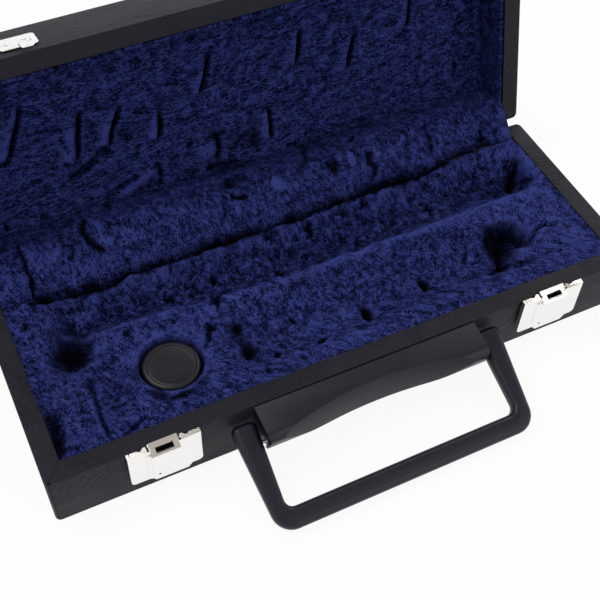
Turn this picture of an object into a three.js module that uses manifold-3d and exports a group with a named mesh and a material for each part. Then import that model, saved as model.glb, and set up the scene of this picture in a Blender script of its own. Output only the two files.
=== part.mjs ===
import * as THREE from "three";
import { mergeVertices } from "three/addons/utils/BufferGeometryUtils.js";
import Module from "manifold-3d";

// Case for an alto recorder, standing open on a table. Millimetres, +X to the right, +Y to the hinges, +Z up.
// Everything is laid out from the middle of the front wall's outer face at floor level.

const wasm = await Module();
wasm.setup();

// Shared clearances and tolerances.
const seam = 0.3; // between pieces that seat on each other
const fit = 0.05; // radial, a shaft in its hole
const overrun = 1; // how far a cutter passes its face
const weld = 0.0001; // vertices closer than this are one

// The two halves of the box.
const shell = {
  width: 300, depth: 106, wall: 9, baseHeight: 31.5, lidHeight: 30,
  panel: 3, cornerRadius: 2.6, innerRadius: 0.9, edgeRound: 1.2, rebate: 1.2,
};
const openDegrees = 106; // the hinges' stops hold the lid here

// Plush linings.
const plush = {
  strip: 0.8, padPanel: 5, padWall: 2.2, wallRound: 1, lip: 0.5, edgeDrop: 3.2, edgeRun: 7,
  crown: 0.9, pile: 0.2,
};
const trayGrid = { lengthSteps: 54, depthSteps: 18 };
const padGrid = { lengthSteps: 44, depthSteps: 14 };
// Hollows pressed into the base tray: span along x, middle and half width in y, depth, run of each end.
const rearTrough = { left: -124, right: 129, middle: 79, half: 17.5, depth: 19, end: 9 };
const frontTrough = { left: -54, right: 92, middle: 35, half: 21, depth: 15, end: 14 };
const ringPocket = { left: 80, right: 110, middle: 38, half: 16, depth: 20, end: 7 };
const leftPocket = { left: -126, right: -103, middle: 66, half: 12, depth: 20, end: 7 };
const rightPocket = { left: 116, right: 139, middle: 76, half: 12, depth: 23, end: 6 };
const smallPocket = { left: -139, right: -112, middle: 29, half: 17, depth: 12, end: 7 };
const pinches = [
  { x: -42, y: 34, radius: 8, depth: 9 },
  { x: 16, y: 26, radius: 6, depth: 8 },
  { x: 51, y: 31, radius: 6, depth: 9 },
];
// Finger-shaped marks in the lid's pad, as shares of the pad's width and depth.
const printShares = [
  [-0.46, 0.55, 0.011, 0.1], [-0.4, 0.5, 0.012, 0.1], [-0.34, 0.62, 0.012, 0.12],
  [-0.24, 0.66, 0.01, 0.1], [-0.05, 0.2, 0.03, 0.09], [0.12, 0.5, 0.02, 0.1],
];
const printDepth = 2.6;

// Round grease pot in the tray.
const pot = {
  fromEnd: 69.5, y: 36.6, radius: 12.9, floor: 1.6, wall: 1.6, neckRadius: 11.6,
  height: 18.2, recessGap: 0.9, topDrop: 0.6,
};
const cap = { radius: 13.5, height: 8.2, wall: 1.4, top: 2, edgeRound: 1.5, ringRadius: 11.4, ringDrop: 0.6 };

// Butt hinges with a stop arm, riveted to the back walls.
const hinge = {
  fromEnd: 55, width: 36, leaf: 0.9, leafHeight: 17, knuckle: 2, pin: 1, middleShare: 0.4,
  stopWidth: 9, stopReach: 7.6, stopStart: 5, stopThick: 1.6, pinHead: 0.5,
};
const rivet = { shank: 1.1, head: 2.1, rise: 0.6, depth: 6.5, hole: 1.2, inset: 5.5 };

// Sliding latches on the front wall. Drops are measured down from the latch's top.
const latch = {
  besideBail: 13.3, halfWidth: 16.6, sheet: 0.5, front: 3.2, top: 1.8, travel: 3,
  low: 8, sideLow: 10.6, tongueLeft: -5.4, tongueRight: 9.6, stepRun: 2, cornerRadius: 2.2,
  flangeBack: 0.5, notchX: 10.3, notchHalf: 1.1, notchDepth: 1.3, sideStep: 0.5,
  slitWidth: 0.5, slitLength: 2,
  lipInner: 1.1, lipDepth: 3.1, ribX: -7.6, ribRadius: 1.15, ribBottom: 12.4, ribDrop: 3.9,
  holeX: -3.6, holeZ: 11.6, holeRadius: 0.55,
};
const windowFrame = {
  half: 6.6, rise: 0.6, reach: 5, fall: 1.9, lowEdge: 1.6, foot: 4.1, slotHalf: 4, slotBack: 2.15, slotDepth: 2.1,
};
const basePlate = { left: -12.8, right: 15.8, lowLip: 12, highDrop: 3.8, lipOut: 2.4, hook: 2.4 };
const spring = { wire: 0.3, leftLeg: -4.4, rightLeg: 5.4, topDrop: 6.3, footGap: 2.5, tabDrop: 7.3, tabHeight: 5 };
const latchRivet = { left: -9.2, right: 11.6, drop: 12.6, head: 1.8, rise: 0.5 };

// Strikers on the lid, each with a barbed tongue that drops through a latch's slot.
const striker = {
  half: 8.5, sheet: 0.8, above: 3.9, height: 12.5, cornerRadius: 2, out: 2.6,
  tongueLeft: -0.4, tongueRight: 3.6, barb: 2.4, tongueDrop: 3.6, barbDrop: 1.9, slope: 1.3, rivetX: 5.4,
};

// Carrying handle. Drops are measured down from the rim.
const bracket = {
  halfBack: 56.2, halfFront: 56, reach: 18.4, topDrop: 0.8, frontDrop: 3.3, bottomBack: 10.5, bottomFront: 15.5,
  noseRound: 4.5, chinRound: 4, cornerRadius: 4, chin: 4.5,
  scoopRadius: 170, scoopSide: 9.2, scoopFall: 10, scoopOut: 1.2,
};
const bail = {
  pivotOut: 12, pivotUp: 18.2, degrees: 23.2, thick: 7.6, reach: 31, bar: 10, tail: 11.4,
  outerTop: 69, outerBar: 65.6, innerTop: 56.9, innerBar: 56.9,
  outerRadius: 9, innerRadius: 4, tailRadius: 2.4, edgeRound: 2.2,
};
const pivotPin = { radius: 1.6, inside: 8, outside: 9.5 };
const screw = { offset: 30, height: 21, shank: 1.5, hole: 1.7, head: 3.1, rise: 1.6, bite: 9.5, sink: 2.2 };

// Heights and lines that several pieces share.
const innerHalf = shell.width / 2 - shell.wall;
const backInside = shell.depth - shell.wall;
const lidBottom = shell.baseHeight + seam;
const lidTop = lidBottom + shell.lidHeight;
const axisY = shell.depth + seam + hinge.knuckle;
const axisZ = shell.baseHeight + seam / 2;
const latchTop = shell.baseHeight + latch.top;
const latchRivetZ = latchTop - latchRivet.drop;
const hingeX = shell.width / 2 - hinge.fromEnd;
const latchX = bail.outerTop + latch.besideBail + latch.halfWidth;
const potX = pot.fromEnd - shell.width / 2;
const quarter = Math.PI / 2;

// The solid that a closed geometry bounds.
function solid(geometry) {
  const bare = geometry.index ? geometry.toNonIndexed() : geometry.clone();
  bare.deleteAttribute("normal");
  bare.deleteAttribute("uv");
  const merged = mergeVertices(bare, weld);
  const triVerts = new Uint32Array(merged.index.array);
  const vertProperties = merged.attributes.position.array;
  const made = new wasm.Manifold(new wasm.Mesh({ numProp: 3, vertProperties, triVerts }));
  if (made.volume() >= 0) return made;
  for (let i = 0; i < triVerts.length; i += 3)
    [triVerts[i + 1], triVerts[i + 2]] = [triVerts[i + 2], triVerts[i + 1]];
  return new wasm.Manifold(new wasm.Mesh({ numProp: 3, vertProperties, triVerts }));
}

// A flat outline through corners [u, v, radius], each corner rounded by its own radius.
function outline(corners) {
  const shape = new THREE.Shape();
  corners.forEach(([u, v, radius = 0], i) => {
    const corner = new THREE.Vector2(u, v);
    const [bu, bv] = corners[(i + corners.length - 1) % corners.length];
    const [au, av] = corners[(i + 1) % corners.length];
    const before = new THREE.Vector2(bu, bv).sub(corner).normalize();
    const after = new THREE.Vector2(au, av).sub(corner).normalize();
    if (!radius) {
      i ? shape.lineTo(u, v) : shape.moveTo(u, v);
      return;
    }
    const half = Math.acos(THREE.MathUtils.clamp(before.dot(after), -1, 1)) / 2;
    const start = corner.clone().addScaledVector(before, radius / Math.tan(half));
    const end = corner.clone().addScaledVector(after, radius / Math.tan(half));
    const middle = before.clone().add(after).normalize();
    const centre = corner.clone().addScaledVector(middle, radius / Math.sin(half));
    i ? shape.lineTo(start.x, start.y) : shape.moveTo(start.x, start.y);
    const from = start.sub(centre).angle();
    const to = end.sub(centre).angle();
    shape.absarc(centre.x, centre.y, radius, from, to, before.cross(after) > 0);
  });
  return shape;
}

// The section of a folded sheet: a path of its one face, and its thickness to the right of that path.
function folded(path, thickness) {
  const other = path.map(([u, v], i) => {
    const here = new THREE.Vector2(u, v);
    const side = (a, b) => {
      const along = new THREE.Vector2(b[0] - a[0], b[1] - a[1]).normalize();
      return new THREE.Vector2(along.y, -along.x);
    };
    const first = i > 0 ? side(path[i - 1], path[i]) : side(path[i], path[i + 1]);
    const second = i < path.length - 1 ? side(path[i], path[i + 1]) : first;
    const sum = first.clone().add(second).normalize();
    here.addScaledVector(sum, thickness / sum.dot(first));
    return [here.x, here.y];
  });
  return outline([...path, ...other.reverse()]);
}

const arcSteps = 5;
function extruded(shape, length, curveSegments = arcSteps) {
  return new THREE.ExtrudeGeometry(shape, { depth: length, bevelEnabled: false, curveSegments });
}
const alongX = new THREE.Matrix4().makeBasis(
  new THREE.Vector3(0, 1, 0), new THREE.Vector3(0, 0, 1), new THREE.Vector3(1, 0, 0));
const alongY = new THREE.Matrix4().makeBasis(
  new THREE.Vector3(1, 0, 0), new THREE.Vector3(0, 0, 1), new THREE.Vector3(0, -1, 0));
// Prisms of a (y, z), an (x, z) and an (x, y) outline.
const prismX = (shape, from, to) => solid(extruded(shape, to - from).applyMatrix4(alongX).translate(from, 0, 0));
const prismY = (shape, from, to) => solid(extruded(shape, to - from).applyMatrix4(alongY).translate(0, to, 0));
const prismZ = (shape, from, to) => solid(extruded(shape, to - from).translate(0, 0, from));
const rectangle = (u0, v0, u1, v1, r = 0) => outline([[u0, v0, r], [u1, v0, r], [u1, v1, r], [u0, v1, r]]);
const block = (x0, x1, y0, y1, z0, z1) => prismZ(rectangle(x0, y0, x1, y1), z0, z1);

// A body turned about Z through [radius, height] points that start and end on the axis.
function turned(points, sides = 40) {
  return solid(new THREE.LatheGeometry(points.map(([r, h]) => new THREE.Vector2(r, h)), sides).rotateX(quarter));
}
const rod = (radius, from, to, sides = 20) => turned([[0, from], [radius, from], [radius, to], [0, to]], sides);
// Rods along X and Y: ends are on that axis.
const rivetSides = 12;
const rodX = (radius, from, to, y, z, sides) => rod(radius, from, to, sides).rotate([0, 90, 0]).translate([0, y, z]);
const rodY = (radius, from, to, x, z, sides) => rod(radius, -to, -from, sides).rotate([90, 0, 0]).translate([x, 0, z]);

const ease = (t) => {
  const s = THREE.MathUtils.clamp(t, 0, 1);
  return s * s * (3 - 2 * s);
};

// The four walls of one half: an outline with its opening, both rims rounded.
function wallRing(bottom, height) {
  const round = shell.edgeRound;
  const shape = rectangle(-shell.width / 2, 0, shell.width / 2, shell.depth, shell.cornerRadius);
  shape.holes.push(rectangle(-innerHalf, shell.wall, innerHalf, backInside, shell.innerRadius));
  const ring = new THREE.ExtrudeGeometry(shape, {
    depth: height - 2 * round, bevelThickness: round, bevelSize: round, bevelOffset: -round,
    bevelSegments: 2, curveSegments: arcSteps,
  });
  return solid(ring.translate(0, 0, bottom + round));
}

// Depth at (x, y) of a long hollow with rounded sides and sloping ends.
function hollowDepth(hollow, x, y) {
  const across = Math.abs(y - hollow.middle) / hollow.half;
  const ends = Math.min(x - hollow.left, hollow.right - x) / hollow.end;
  if (across >= 1 || ends <= 0) return 0;
  return hollow.depth * Math.pow(1 - across * across, 0.7) * Math.pow(ease(ends), 0.6);
}
const hollows = [rearTrough, frontTrough, ringPocket, leftPocket, rightPocket, smallPocket];

function trayDepth(x, y) {
  let depth = 0;
  for (const hollow of hollows) depth = Math.max(depth, hollowDepth(hollow, x, y));
  for (const pinch of pinches) {
    const far = Math.hypot(x - pinch.x, y - pinch.y) / pinch.radius;
    if (far < 1) depth += pinch.depth * (1 - ease(far));
  }
  return depth;
}

// A pad whose one face is a height over a grid of (x, y), and whose other face is flat.
function pad(x0, x1, y0, y1, flat, height, grid) {
  const nx = grid.lengthSteps, ny = grid.depthSteps;
  const positions = [];
  const index = [];
  for (let j = 0; j <= ny; j++)
    for (let i = 0; i <= nx; i++) {
      const x = x0 + ((x1 - x0) * i) / nx;
      const y = y0 + ((y1 - y0) * j) / ny;
      positions.push(x, y, height(x, y));
    }
  const at = (i, j) => j * (nx + 1) + i;
  for (let j = 0; j < ny; j++)
    for (let i = 0; i < nx; i++) {
      const a = at(i, j), b = at(i + 1, j), c = at(i + 1, j + 1), d = at(i, j + 1);
      if ((i + j) % 2) index.push(a, b, c, a, c, d);
      else index.push(a, b, d, b, c, d);
    }
  const rim = [];
  for (let i = 0; i < nx; i++) rim.push(at(i, 0));
  for (let j = 0; j < ny; j++) rim.push(at(nx, j));
  for (let i = nx; i > 0; i--) rim.push(at(i, ny));
  for (let j = ny; j > 0; j--) rim.push(at(0, j));
  const first = positions.length / 3;
  for (const k of rim) positions.push(positions[3 * k], positions[3 * k + 1], flat);
  const centre = positions.length / 3;
  positions.push((x0 + x1) / 2, (y0 + y1) / 2, flat);
  rim.forEach((k, n) => {
    const next = (n + 1) % rim.length;
    index.push(k, first + n, rim[next], first + n, first + next, rim[next]);
    index.push(first + n, centre, first + next);
  });
  const geometry = new THREE.BufferGeometry();
  geometry.setAttribute("position", new THREE.Float32BufferAttribute(positions, 3));
  geometry.setIndex(index);
  return solid(geometry);
}

// A rivet along Y, its head on the outer side of the face at y, its shank going inwards.
function rivetAt(x, z, face, inwards, head = rivet.head, rise = rivet.rise) {
  const dome = turned([
    [0, -rivet.depth], [rivet.shank, -rivet.depth], [rivet.shank, 0], [head, 0],
    [head * Math.SQRT1_2, rise * Math.SQRT1_2], [0, rise],
  ], rivetSides);
  return dome.rotate([inwards > 0 ? 90 : -90, 0, 0]).translate([x, face, z]);
}
const rivetHole = (x, z, from, to) => rodY(rivet.hole, from, to, x, z, rivetSides);

// One half of the hinge: its leaf, its share of the knuckles, and for the base half the stop arm.
function hingeLeaf(centre, isBase) {
  const half = hinge.width / 2;
  const middle = half * hinge.middleShare;
  const up = isBase ? -1 : 1;
  const leafFront = shell.depth + seam;
  const far = axisZ + up * hinge.leafHeight;
  const near = axisZ + up * (hinge.knuckle + seam);
  let leaf = prismY(
    rectangle(centre - half, Math.min(far, near), centre + half, Math.max(far, near), hinge.pin),
    leafFront, leafFront + hinge.leaf);
  const spans = isBase ? [[-half, -middle - seam], [middle + seam, half]] : [[-middle, middle]];
  for (const [from, to] of spans) {
    leaf = leaf.add(rodX(hinge.knuckle, centre + from, centre + to, axisY, axisZ));
    leaf = leaf.add(block(centre + from, centre + to, leafFront, leafFront + hinge.leaf,
      Math.min(axisZ, near + up * hinge.leaf), Math.max(axisZ, near + up * hinge.leaf)));
  }
  leaf = leaf.subtract(rodX(hinge.pin + fit, centre - half - overrun, centre + half + overrun, axisY, axisZ));
  if (isBase) {
    const open = THREE.MathUtils.degToRad(openDegrees);
    // The arm's top lies one seam below the opened lid leaf.
    const top = (out) => {
      const low = hinge.knuckle - hinge.leaf;
      const b = (out - hinge.knuckle + low * Math.cos(open)) / Math.sin(open);
      return axisZ + low * Math.sin(open) + b * Math.cos(open) - seam / Math.sin(open);
    };
    const y = (out) => leafFront + out;
    const under = axisZ - hinge.knuckle - hinge.stopThick;
    const arm = outline([
      [y(0), under - 2 * hinge.stopThick], [y(hinge.stopStart), under - hinge.stopThick],
      [y(hinge.stopReach), top(hinge.stopReach) - hinge.stopThick], [y(hinge.stopReach), top(hinge.stopReach)],
      [y(hinge.stopStart), top(hinge.stopStart)], [y(hinge.stopStart), under + hinge.stopThick / 2], [y(0), under],
    ]);
    leaf = leaf.add(prismX(arm, centre - hinge.stopWidth / 2, centre + hinge.stopWidth / 2));
  }
  return leaf;
}

const root = new THREE.Group();
root.name = "recorder_case";
root.position.y = -shell.depth / 2;
const lidGroup = new THREE.Group(); // modelled closed, shown open
lidGroup.position.set(0, axisY, axisZ);
lidGroup.rotation.x = -THREE.MathUtils.degToRad(openDegrees);
root.add(lidGroup);

const tint = {
  leatherette: 0x24242a, board: 0x6b5a45, plush: 0x2b3d86, nickel: 0xd9dade, plastic: 0x33353b,
  pot: 0x26272a, grease: 0xd8c992, steel: 0x9a9ca0,
};
function piece(name, made, colour, metalness, roughness, onLid = false) {
  const { vertProperties, triVerts } = made.getMesh();
  const geometry = new THREE.BufferGeometry();
  geometry.setAttribute("position", new THREE.BufferAttribute(new Float32Array(vertProperties), 3));
  geometry.setIndex(new THREE.BufferAttribute(new Uint32Array(triVerts), 1));
  if (onLid) geometry.translate(0, -axisY, -axisZ);
  const flat = geometry.toNonIndexed();
  flat.computeVertexNormals();
  const mesh = new THREE.Mesh(flat, new THREE.MeshStandardMaterial({ color: colour, metalness, roughness }));
  mesh.name = name;
  (onLid ? lidGroup : root).add(mesh);
}

// Base.
const hingeSides = [["left", -hingeX], ["right", hingeX]];
const latchSides = [["left", -latchX], ["right", latchX]];
const rebateCut = block(-innerHalf, innerHalf, backInside - overrun, shell.depth + overrun,
  shell.baseHeight - shell.rebate, lidBottom + shell.rebate);
const leafRivetZ = hinge.leafHeight - rivet.inset;
const leafRivetX = hinge.width / 2 - rivet.inset;
let baseFrame = wallRing(0, shell.baseHeight).subtract(rebateCut);
for (const [, x] of hingeSides)
  for (const side of [-1, 1])
    baseFrame = baseFrame.subtract(rivetHole(x + side * leafRivetX, axisZ - leafRivetZ,
      shell.depth - rivet.depth, shell.depth + overrun));
for (const [, x] of latchSides)
  for (const place of [latchRivet.left, latchRivet.right])
    baseFrame = baseFrame.subtract(rivetHole(x + place, latchRivetZ, -overrun, rivet.depth));
for (const side of [-1, 1]) {
  baseFrame = baseFrame.subtract(rodY(screw.hole, -overrun, shell.wall + overrun, side * screw.offset, screw.height));
  baseFrame = baseFrame.subtract(rodY(screw.head + seam, shell.wall - screw.sink, shell.wall + overrun,
    side * screw.offset, screw.height));
}
piece("base_frame", baseFrame, tint.leatherette, 0, 0.62);
piece("base_bottom_panel",
  block(seam - innerHalf, innerHalf - seam, shell.wall + seam, backInside - seam, 0, shell.panel),
  tint.leatherette, 0, 0.8);

const trayTop = shell.baseHeight - plush.pile;
const trayX = innerHalf - seam;
const trayFront = shell.wall + seam, trayBack = backInside - seam;
const recess = rod(pot.radius + pot.recessGap, trayTop - cap.height - pot.height, trayTop + shell.panel, 36)
  .translate([potX, pot.y, 0]);
const potBottom = trayTop - pot.topDrop - pot.height;
let tray = pad(-trayX, trayX, trayFront, trayBack, shell.panel + seam, (x, y) => {
  const edge = Math.min(x + trayX, trayX - x, y - trayFront, trayBack - y);
  return trayTop - plush.lip * (1 - ease(edge / plush.edgeRun)) - trayDepth(x, y);
}, trayGrid);
tray = tray.subtract(recess.intersect(block(-innerHalf, innerHalf, 0, shell.depth, potBottom - seam, lidBottom)));
piece("base_lining", tray, tint.plush, 0, 0.95);
piece("base_hinge_lining",
  prismX(rectangle(backInside - seam, shell.baseHeight - shell.rebate + seam, shell.depth,
    shell.baseHeight - shell.rebate + seam + plush.strip, plush.strip / 3), seam - innerHalf, innerHalf - seam),
  tint.plush, 0, 0.95);

// Lid, in its closed place.
let lidFrame = wallRing(lidBottom, shell.lidHeight).subtract(rebateCut);
const strikerLow = latchTop + striker.above;
const strikerRivetZ = strikerLow + striker.height / 2;
for (const [, x] of hingeSides)
  for (const side of [-1, 1])
    lidFrame = lidFrame.subtract(rivetHole(x + side * leafRivetX, axisZ + leafRivetZ,
      shell.depth - rivet.depth, shell.depth + overrun));
for (const [, x] of latchSides)
  for (const side of [-1, 1])
    lidFrame = lidFrame.subtract(rivetHole(x + side * striker.rivetX, strikerRivetZ, -overrun, rivet.depth));
piece("lid_frame", lidFrame, tint.leatherette, 0, 0.62, true);
piece("lid_top_panel",
  block(seam - innerHalf, innerHalf - seam, shell.wall + seam, backInside - seam, lidTop - shell.panel, lidTop),
  tint.leatherette, 0, 0.8, true);

const lidCeiling = lidTop - shell.panel - seam;
const padX = innerHalf - 2 * seam - plush.padWall;
const padFront = shell.wall + 2 * seam + plush.padWall;
const padBack = backInside - 2 * seam - plush.padWall;
piece("lid_lining_panel", pad(-padX, padX, padFront, padBack, lidCeiling, (x, y) => {
  const edge = Math.min(x + padX, padX - x, y - padFront, padBack - y);
  let z = lidCeiling - plush.padPanel + (plush.edgeDrop - plush.crown) * (1 - ease(edge / plush.edgeRun));
  for (const [px, py, rx, ry] of printShares) {
    const u = (x - px * shell.width) / (rx * shell.width);
    const v = ((y - padFront) / (padBack - padFront) - py) / ry;
    z += printDepth * Math.max(0, 1 - u * u / 2 - v * v / 2);
  }
  return Math.min(z, lidCeiling - plush.strip);
}, padGrid), tint.plush, 0, 0.95, true);

const wallLow = lidBottom + seam;
const wallRun = (inner, outer) => outline([
  [outer, wallLow], [inner, wallLow, plush.wallRound], [inner, lidCeiling], [outer, lidCeiling],
]);
piece("lid_lining_back", prismX(wallRun(backInside - seam - plush.padWall, backInside - seam),
  seam - innerHalf, innerHalf - seam), tint.plush, 0, 0.95, true);
piece("lid_lining_front", prismX(wallRun(shell.wall + seam + plush.padWall, shell.wall + seam),
  seam - innerHalf, innerHalf - seam), tint.plush, 0, 0.95, true);
for (const [side, sign] of [["left", -1], ["right", 1]])
  piece(`lid_lining_${side}`, prismY(wallRun(sign * (innerHalf - seam - plush.padWall), sign * (innerHalf - seam)),
    padFront, padBack), tint.plush, 0, 0.95, true);
piece("lid_hinge_lining",
  prismX(rectangle(backInside - seam, lidBottom + shell.rebate - seam - plush.strip, shell.depth,
    lidBottom + shell.rebate - seam, plush.strip / 3), seam - innerHalf, innerHalf - seam),
  tint.plush, 0, 0.95, true);

// Hinges.
for (const [side, x] of hingeSides) {
  const cut = (leaf, up) => [-1, 1].reduce((made, s) => made.subtract(rivetHole(x + s * leafRivetX,
    axisZ + up * leafRivetZ, shell.depth, shell.depth + seam + hinge.leaf + overrun)), leaf);
  piece(`${side}_hinge_base_leaf`, cut(hingeLeaf(x, true), -1), tint.nickel, 0.9, 0.25);
  piece(`${side}_hinge_lid_leaf`, cut(hingeLeaf(x, false), 1), tint.nickel, 0.9, 0.25, true);
  piece(`${side}_hinge_pin`,
    rodX(hinge.pin, x - hinge.width / 2 - hinge.pinHead, x + hinge.width / 2 + hinge.pinHead, axisY, axisZ),
    tint.steel, 0.9, 0.3);
  for (const [n, s] of [[1, -1], [2, 1]]) {
    const face = shell.depth + seam + hinge.leaf + fit;
    piece(`${side}_hinge_base_rivet_${n}`, rivetAt(x + s * leafRivetX, axisZ - leafRivetZ, face, -1),
      tint.nickel, 0.9, 0.25);
    piece(`${side}_hinge_lid_rivet_${n}`, rivetAt(x + s * leafRivetX, axisZ + leafRivetZ, face, -1),
      tint.nickel, 0.9, 0.25, true);
  }
}

// Latches. Y is written as distances out from the front wall.
const out = (distance) => -distance;

function latchCover() {
  const t = latch.sheet, w = latch.halfWidth;
  const inner = latch.front - t;
  // Front face with its stepped lower edge.
  let cover = prismY(outline([
    [-w, latch.sideLow, latch.cornerRadius], [latch.tongueLeft - latch.stepRun, latch.sideLow],
    [latch.tongueLeft, latch.low], [latch.tongueRight, latch.low],
    [latch.tongueRight + latch.stepRun, latch.sideLow], [w, latch.sideLow, latch.cornerRadius],
    [w, latchTop], [-w, latchTop],
  ]), out(latch.front), out(inner));
  // Top flange with its notches, and the side flanges.
  const notch = (x) => [
    [x - latch.notchHalf, out(latch.flangeBack)], [x, out(latch.flangeBack + latch.notchDepth)],
    [x + latch.notchHalf, out(latch.flangeBack)],
  ];
  const stepBack = out(latch.flangeBack + latch.sideStep);
  cover = cover.add(prismZ(outline([
    [-w, out(latch.front)], [w, out(latch.front)], [w, stepBack],
    [latch.notchX + latch.notchHalf, stepBack], ...notch(latch.notchX).reverse().slice(1),
    ...notch(-latch.notchX).reverse().slice(0, 2), [-latch.notchX - latch.notchHalf, stepBack], [-w, stepBack],
  ]), latchTop - t, latchTop));
  for (const x of [-w, w - t])
    cover = cover.add(block(x, x + t, out(latch.front), stepBack,
      latch.sideLow + latch.cornerRadius, latchTop));
  // Guide lips behind the base plate's hooks.
  const lowLip = folded([
    [out(latch.lipInner), latch.low + t + latch.lipDepth], [out(latch.lipInner), latch.low],
    [out(latch.front), latch.low], [out(latch.front), latch.low + latch.lipDepth],
  ], t);
  cover = cover.add(prismX(lowLip, latch.tongueLeft + t, latch.tongueRight - t));
  for (const [from, to] of [[-w, -windowFrame.half - seam - t], [windowFrame.half + seam + t, w]])
    cover = cover.add(block(from, to, out(latch.lipInner + t), out(latch.lipInner),
      latchTop - t - latch.lipDepth, latchTop));
  // Raised window: sloping frame, its front edge and its cheeks.
  const h = windowFrame.half;
  const back = [out(latch.flangeBack), latchTop + windowFrame.rise];
  const lip = [out(windowFrame.reach), latchTop + windowFrame.rise - windowFrame.fall];
  const chin = [out(windowFrame.reach), lip[1] - windowFrame.lowEdge];
  const foot = [out(latch.front), latchTop + windowFrame.rise - windowFrame.fall - windowFrame.foot + t];
  cover = cover.subtract(block(t - h, h - t, out(latch.front + overrun), out(latch.flangeBack) + overrun,
    foot[1] + t, latchTop + overrun));
  const cheek = outline([back, lip, chin, foot, [out(inner), foot[1]], [out(inner), latchTop - t],
    [out(latch.flangeBack), latchTop - t]]);
  const frame = folded([back, lip, chin, foot].reverse(), t);
  cover = cover.add(prismX(frame, -h, h));
  for (const x of [-h, h - t]) cover = cover.add(prismX(cheek, x, x + t));
  cover = cover.subtract(block(-windowFrame.slotHalf, windowFrame.slotHalf,
    out(windowFrame.slotBack + windowFrame.slotDepth), out(windowFrame.slotBack),
    foot[1] + latch.lipDepth, latchTop + overrun));
  for (const x of [-h - seam / 2 - latch.slitWidth, h + seam / 2])
    cover = cover.subtract(block(x, x + latch.slitWidth, out(latch.flangeBack + latch.slitLength),
      out(latch.flangeBack) + overrun, latchTop - t - seam, latchTop + overrun));
  // Thumb rib, pinned out of the face, and the small hole beside its foot.
  const ribTop = latchTop - latch.ribDrop;
  const rib = new THREE.CapsuleGeometry(latch.ribRadius, ribTop - latch.ribBottom, 3, 10).rotateX(quarter);
  cover = cover.add(solid(rib).translate([latch.ribX, out(latch.front), (ribTop + latch.ribBottom) / 2])
    .intersect(block(-w, w, out(latch.front + overrun + latch.ribRadius), out(inner), 0, latchTop)));
  cover = cover.subtract(rodY(latch.holeRadius, out(latch.front + overrun), out(inner) + seam,
    latch.holeX, latch.holeZ, 12));
  // Tab that the spring pushes back.
  const tabRight = spring.leftLeg - spring.wire - seam;
  const tabTop = latchTop - spring.tabDrop;
  return cover.add(block(tabRight - t, tabRight, out(latch.front - t / 2), out(latch.lipInner + seam),
    tabTop - spring.tabHeight, tabTop));
}

function latchBase() {
  const t = latch.sheet;
  const face = seam + t;
  const low = basePlate.lowLip + t, high = latchTop - basePlate.highDrop - t;
  const section = folded([
    [out(basePlate.lipOut), low - t - basePlate.hook], [out(basePlate.lipOut), low], [out(face), low],
    [out(face), high], [out(basePlate.lipOut), high], [out(basePlate.lipOut), high + t + basePlate.hook],
  ], t);
  let plate = prismX(section, basePlate.left, basePlate.right);
  // The upper hook is left out under the window, where the striker's tongue comes down.
  plate = plate.subtract(block(-windowFrame.half - seam, windowFrame.half + latch.travel + seam,
    out(basePlate.lipOut + overrun), out(face), high - seam, latchTop + overrun));
  const tabLeft = spring.rightLeg + spring.wire + seam;
  const tabTop = latchTop - spring.tabDrop;
  plate = plate.add(block(tabLeft, tabLeft + t, out(basePlate.lipOut), out(face - t / 2),
    tabTop - spring.tabHeight, tabTop));
  for (const x of [latchRivet.left, latchRivet.right])
    plate = plate.subtract(rivetHole(x, latchRivetZ, out(basePlate.lipOut), overrun));
  return plate;
}

// U-shaped wire between the two tabs.
function returnSpring() {
  const radius = (spring.rightLeg - spring.leftLeg) / 2;
  const middle = (spring.rightLeg + spring.leftLeg) / 2;
  const depth = out((latch.front + seam) / 2);
  const top = latchTop - spring.topDrop;
  const bend = latch.low + latch.lipDepth + spring.footGap + radius;
  const points = [[spring.leftLeg, top]];
  const turns = 10;
  for (let i = 0; i <= turns; i++) {
    const angle = Math.PI + (Math.PI * i) / turns;
    points.push([middle + radius * Math.cos(angle), bend + radius * Math.sin(angle)]);
  }
  points.push([spring.rightLeg, top]);
  const section = new THREE.Shape();
  section.absarc(0, 0, spring.wire, 0, 2 * Math.PI, false);
  const wire = new THREE.CatmullRomCurve3(points.map(([x, z]) => new THREE.Vector3(x, depth, z)), false, "centripetal");
  return solid(new THREE.ExtrudeGeometry(section, { steps: 20, curveSegments: 3, extrudePath: wire }));
}

function strikerPlate() {
  const t = striker.sheet;
  const low = strikerLow, high = strikerLow + striker.height;
  const joggle = low + t;
  let plate = prismY(rectangle(-striker.half, low, striker.half, high, striker.cornerRadius),
    out(seam + t), out(seam));
  const tongueY = seam + striker.out + t / 2;
  plate = plate.add(block(striker.tongueLeft, striker.tongueRight, out(tongueY), out(seam + t / 2), low, joggle));
  const tip = striker.tongueRight + striker.barb;
  const tongueLow = latchTop - striker.tongueDrop, barbTop = latchTop - striker.barbDrop;
  const tongue = outline([
    [striker.tongueLeft, joggle], [striker.tongueLeft, tongueLow + t], [striker.tongueLeft + t, tongueLow],
    [tip - striker.slope, tongueLow], [tip, tongueLow + striker.slope], [tip, barbTop],
    [striker.tongueRight, barbTop], [striker.tongueRight, joggle],
  ]);
  plate = plate.add(prismY(tongue, out(tongueY + t / 2), out(tongueY - t / 2)));
  for (const side of [-1, 1])
    plate = plate.subtract(rivetHole(side * striker.rivetX, strikerRivetZ, out(seam + t + overrun), overrun));
  return plate;
}

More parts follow.
